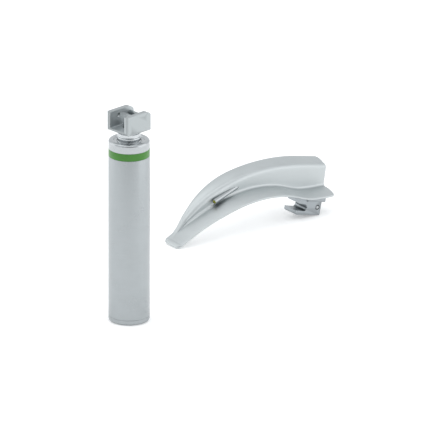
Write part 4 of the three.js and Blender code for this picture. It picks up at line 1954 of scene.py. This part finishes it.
@dataclass
class Studio:
    """A white sweep, soft light all round, and the camera."""

    turn: float = 46.0
    tilt: float = 20.0
    across: float = 57.8
    above: float = 70.1
    frame_width: float = 289.4
    distance: float = 2.0
    clip: Point2 = (0.1, 20.0)
    floor_reach: float = 6.0
    floor_drop: float = 0.02
    aim: Point2 = (0.05, 0.08)
    boxes: tuple[SoftBox, ...] = (
        SoftBox("right_box", (0.85, -0.15, 0.3), (0.9, 0.9), 1.6),
        SoftBox("left_box", (-0.8, 0.25, 0.3), (0.6, 0.9), 0.86),
        SoftBox("top_box", (-0.3, 0.0, 1.6), (1.6, 1.6), 4.8),
    )
    sky: float = 0.95
    dim: float = 0.26

    def build(self) -> None:
        """Sets the floor, the camera, the lights and the world."""
        self.floor()
        self.camera()
        self.lights()
        self.world()

    def axes(self) -> tuple[Vector, Vector, Vector]:
        """The camera's directions.

        Returns:
            Its right, up and look directions.
        """
        turn, tilt = math.radians(self.turn), math.radians(self.tilt)
        right = Vector((math.cos(turn), math.sin(turn), 0))
        ahead = Vector((-math.sin(turn), math.cos(turn), 0))
        look = ahead * math.cos(tilt) - Vector((0, 0, math.sin(tilt)))
        return right, right.cross(look), look

    def camera(self) -> None:
        """A parallel view, as a long lens far away gives, so that upright lines stay upright."""
        right, up, look = self.axes()
        centre = (right * self.across + up * self.above) * MM
        lens = bpy.data.cameras.new("camera")
        lens.type = "ORTHO"
        lens.ortho_scale = self.frame_width * MM
        lens.clip_start, lens.clip_end = self.clip
        camera = bpy.data.objects.new("camera", lens)
        bpy.context.scene.collection.objects.link(camera)
        turned = Matrix((right, up, -look)).transposed().to_4x4()
        camera.matrix_world = Matrix.Translation(centre - look * self.distance) @ turned
        bpy.context.scene.camera = camera

    def floor(self) -> None:
        """A matt white floor, just under what stands on it."""
        mesh = bpy.data.meshes.new("floor")
        reach = self.floor_reach
        corners = [(-reach, -reach, 0), (reach, -reach, 0), (reach, reach, 0), (-reach, reach, 0)]
        mesh.from_pydata(corners, [], [(0, 1, 2, 3)])
        mesh.materials.append(WHITE_PAPER.material())
        floor = bpy.data.objects.new("floor", mesh)
        floor.location.z = -self.floor_drop * MM
        bpy.context.scene.collection.objects.link(floor)

    def lights(self) -> None:
        """Large soft boxes: tall ones low down at the right and left, and a wide one overhead."""
        right, _, look = self.axes()
        ahead = Vector((look.x, look.y, 0)).normalized()
        high = Vector((0, 0, 1))
        target = right * self.aim[0] + high * self.aim[1]
        for box in self.boxes:
            across, along, up = box.place
            light = bpy.data.lights.new(box.name, "AREA")
            light.shape = "RECTANGLE"
            light.size, light.size_y = box.size
            light.energy = box.power
            lamp = bpy.data.objects.new(box.name, light)
            lamp.location = right * across + ahead * along + high * up
            lamp.rotation_euler = (target - lamp.location).to_track_quat("-Z", "Y").to_euler()
            lamp.visible_camera = False
            bpy.context.scene.collection.objects.link(lamp)

    def world(self) -> None:
        """A bright room that is dimmer low down behind the camera."""
        scene = bpy.context.scene
        scene.view_settings.view_transform = "Standard"
        world = bpy.data.worlds.new("room")
        world.use_nodes = True
        scene.world = world
        tree = world.node_tree
        _, _, look = self.axes()
        place = add_node(tree, "ShaderNodeTexCoord").outputs["Generated"]
        behind = {0: place, 1: (-look.x, -look.y, 0.0)}
        facing = add_node(tree, "ShaderNodeVectorMath", {"operation": "DOT_PRODUCT"}, behind)
        limits = {
            "Value": facing.outputs["Value"],
            "From Min": 0.55,
            "From Max": 1.0,
            "To Min": self.sky,
            "To Max": self.dim,
        }
        smooth = {"interpolation_type": "SMOOTHSTEP"}
        share = add_node(tree, "ShaderNodeMapRange", smooth, limits)
        background = tree.nodes["Background"]
        background.inputs["Color"].default_value = linear("fbfdff")
        tree.links.new(share.outputs[0], background.inputs["Strength"])


# ---------------------------------------------------------------- the whole


def main() -> None:
    """Builds each sub-assembly in order and reports its pieces."""
    logging.basicConfig(level=logging.INFO, format="%(name)s: %(message)s", stream=sys.stdout)
    for part in (Grip(), PowerPack(), HookHead(), LampUnit(), Blade()):
        for piece in part.build():
            log.info("%s: %s, %d faces", type(part).__name__, piece.name, len(piece.data.polygons))
    Studio().build()


if __name__ == "__main__":
    main()
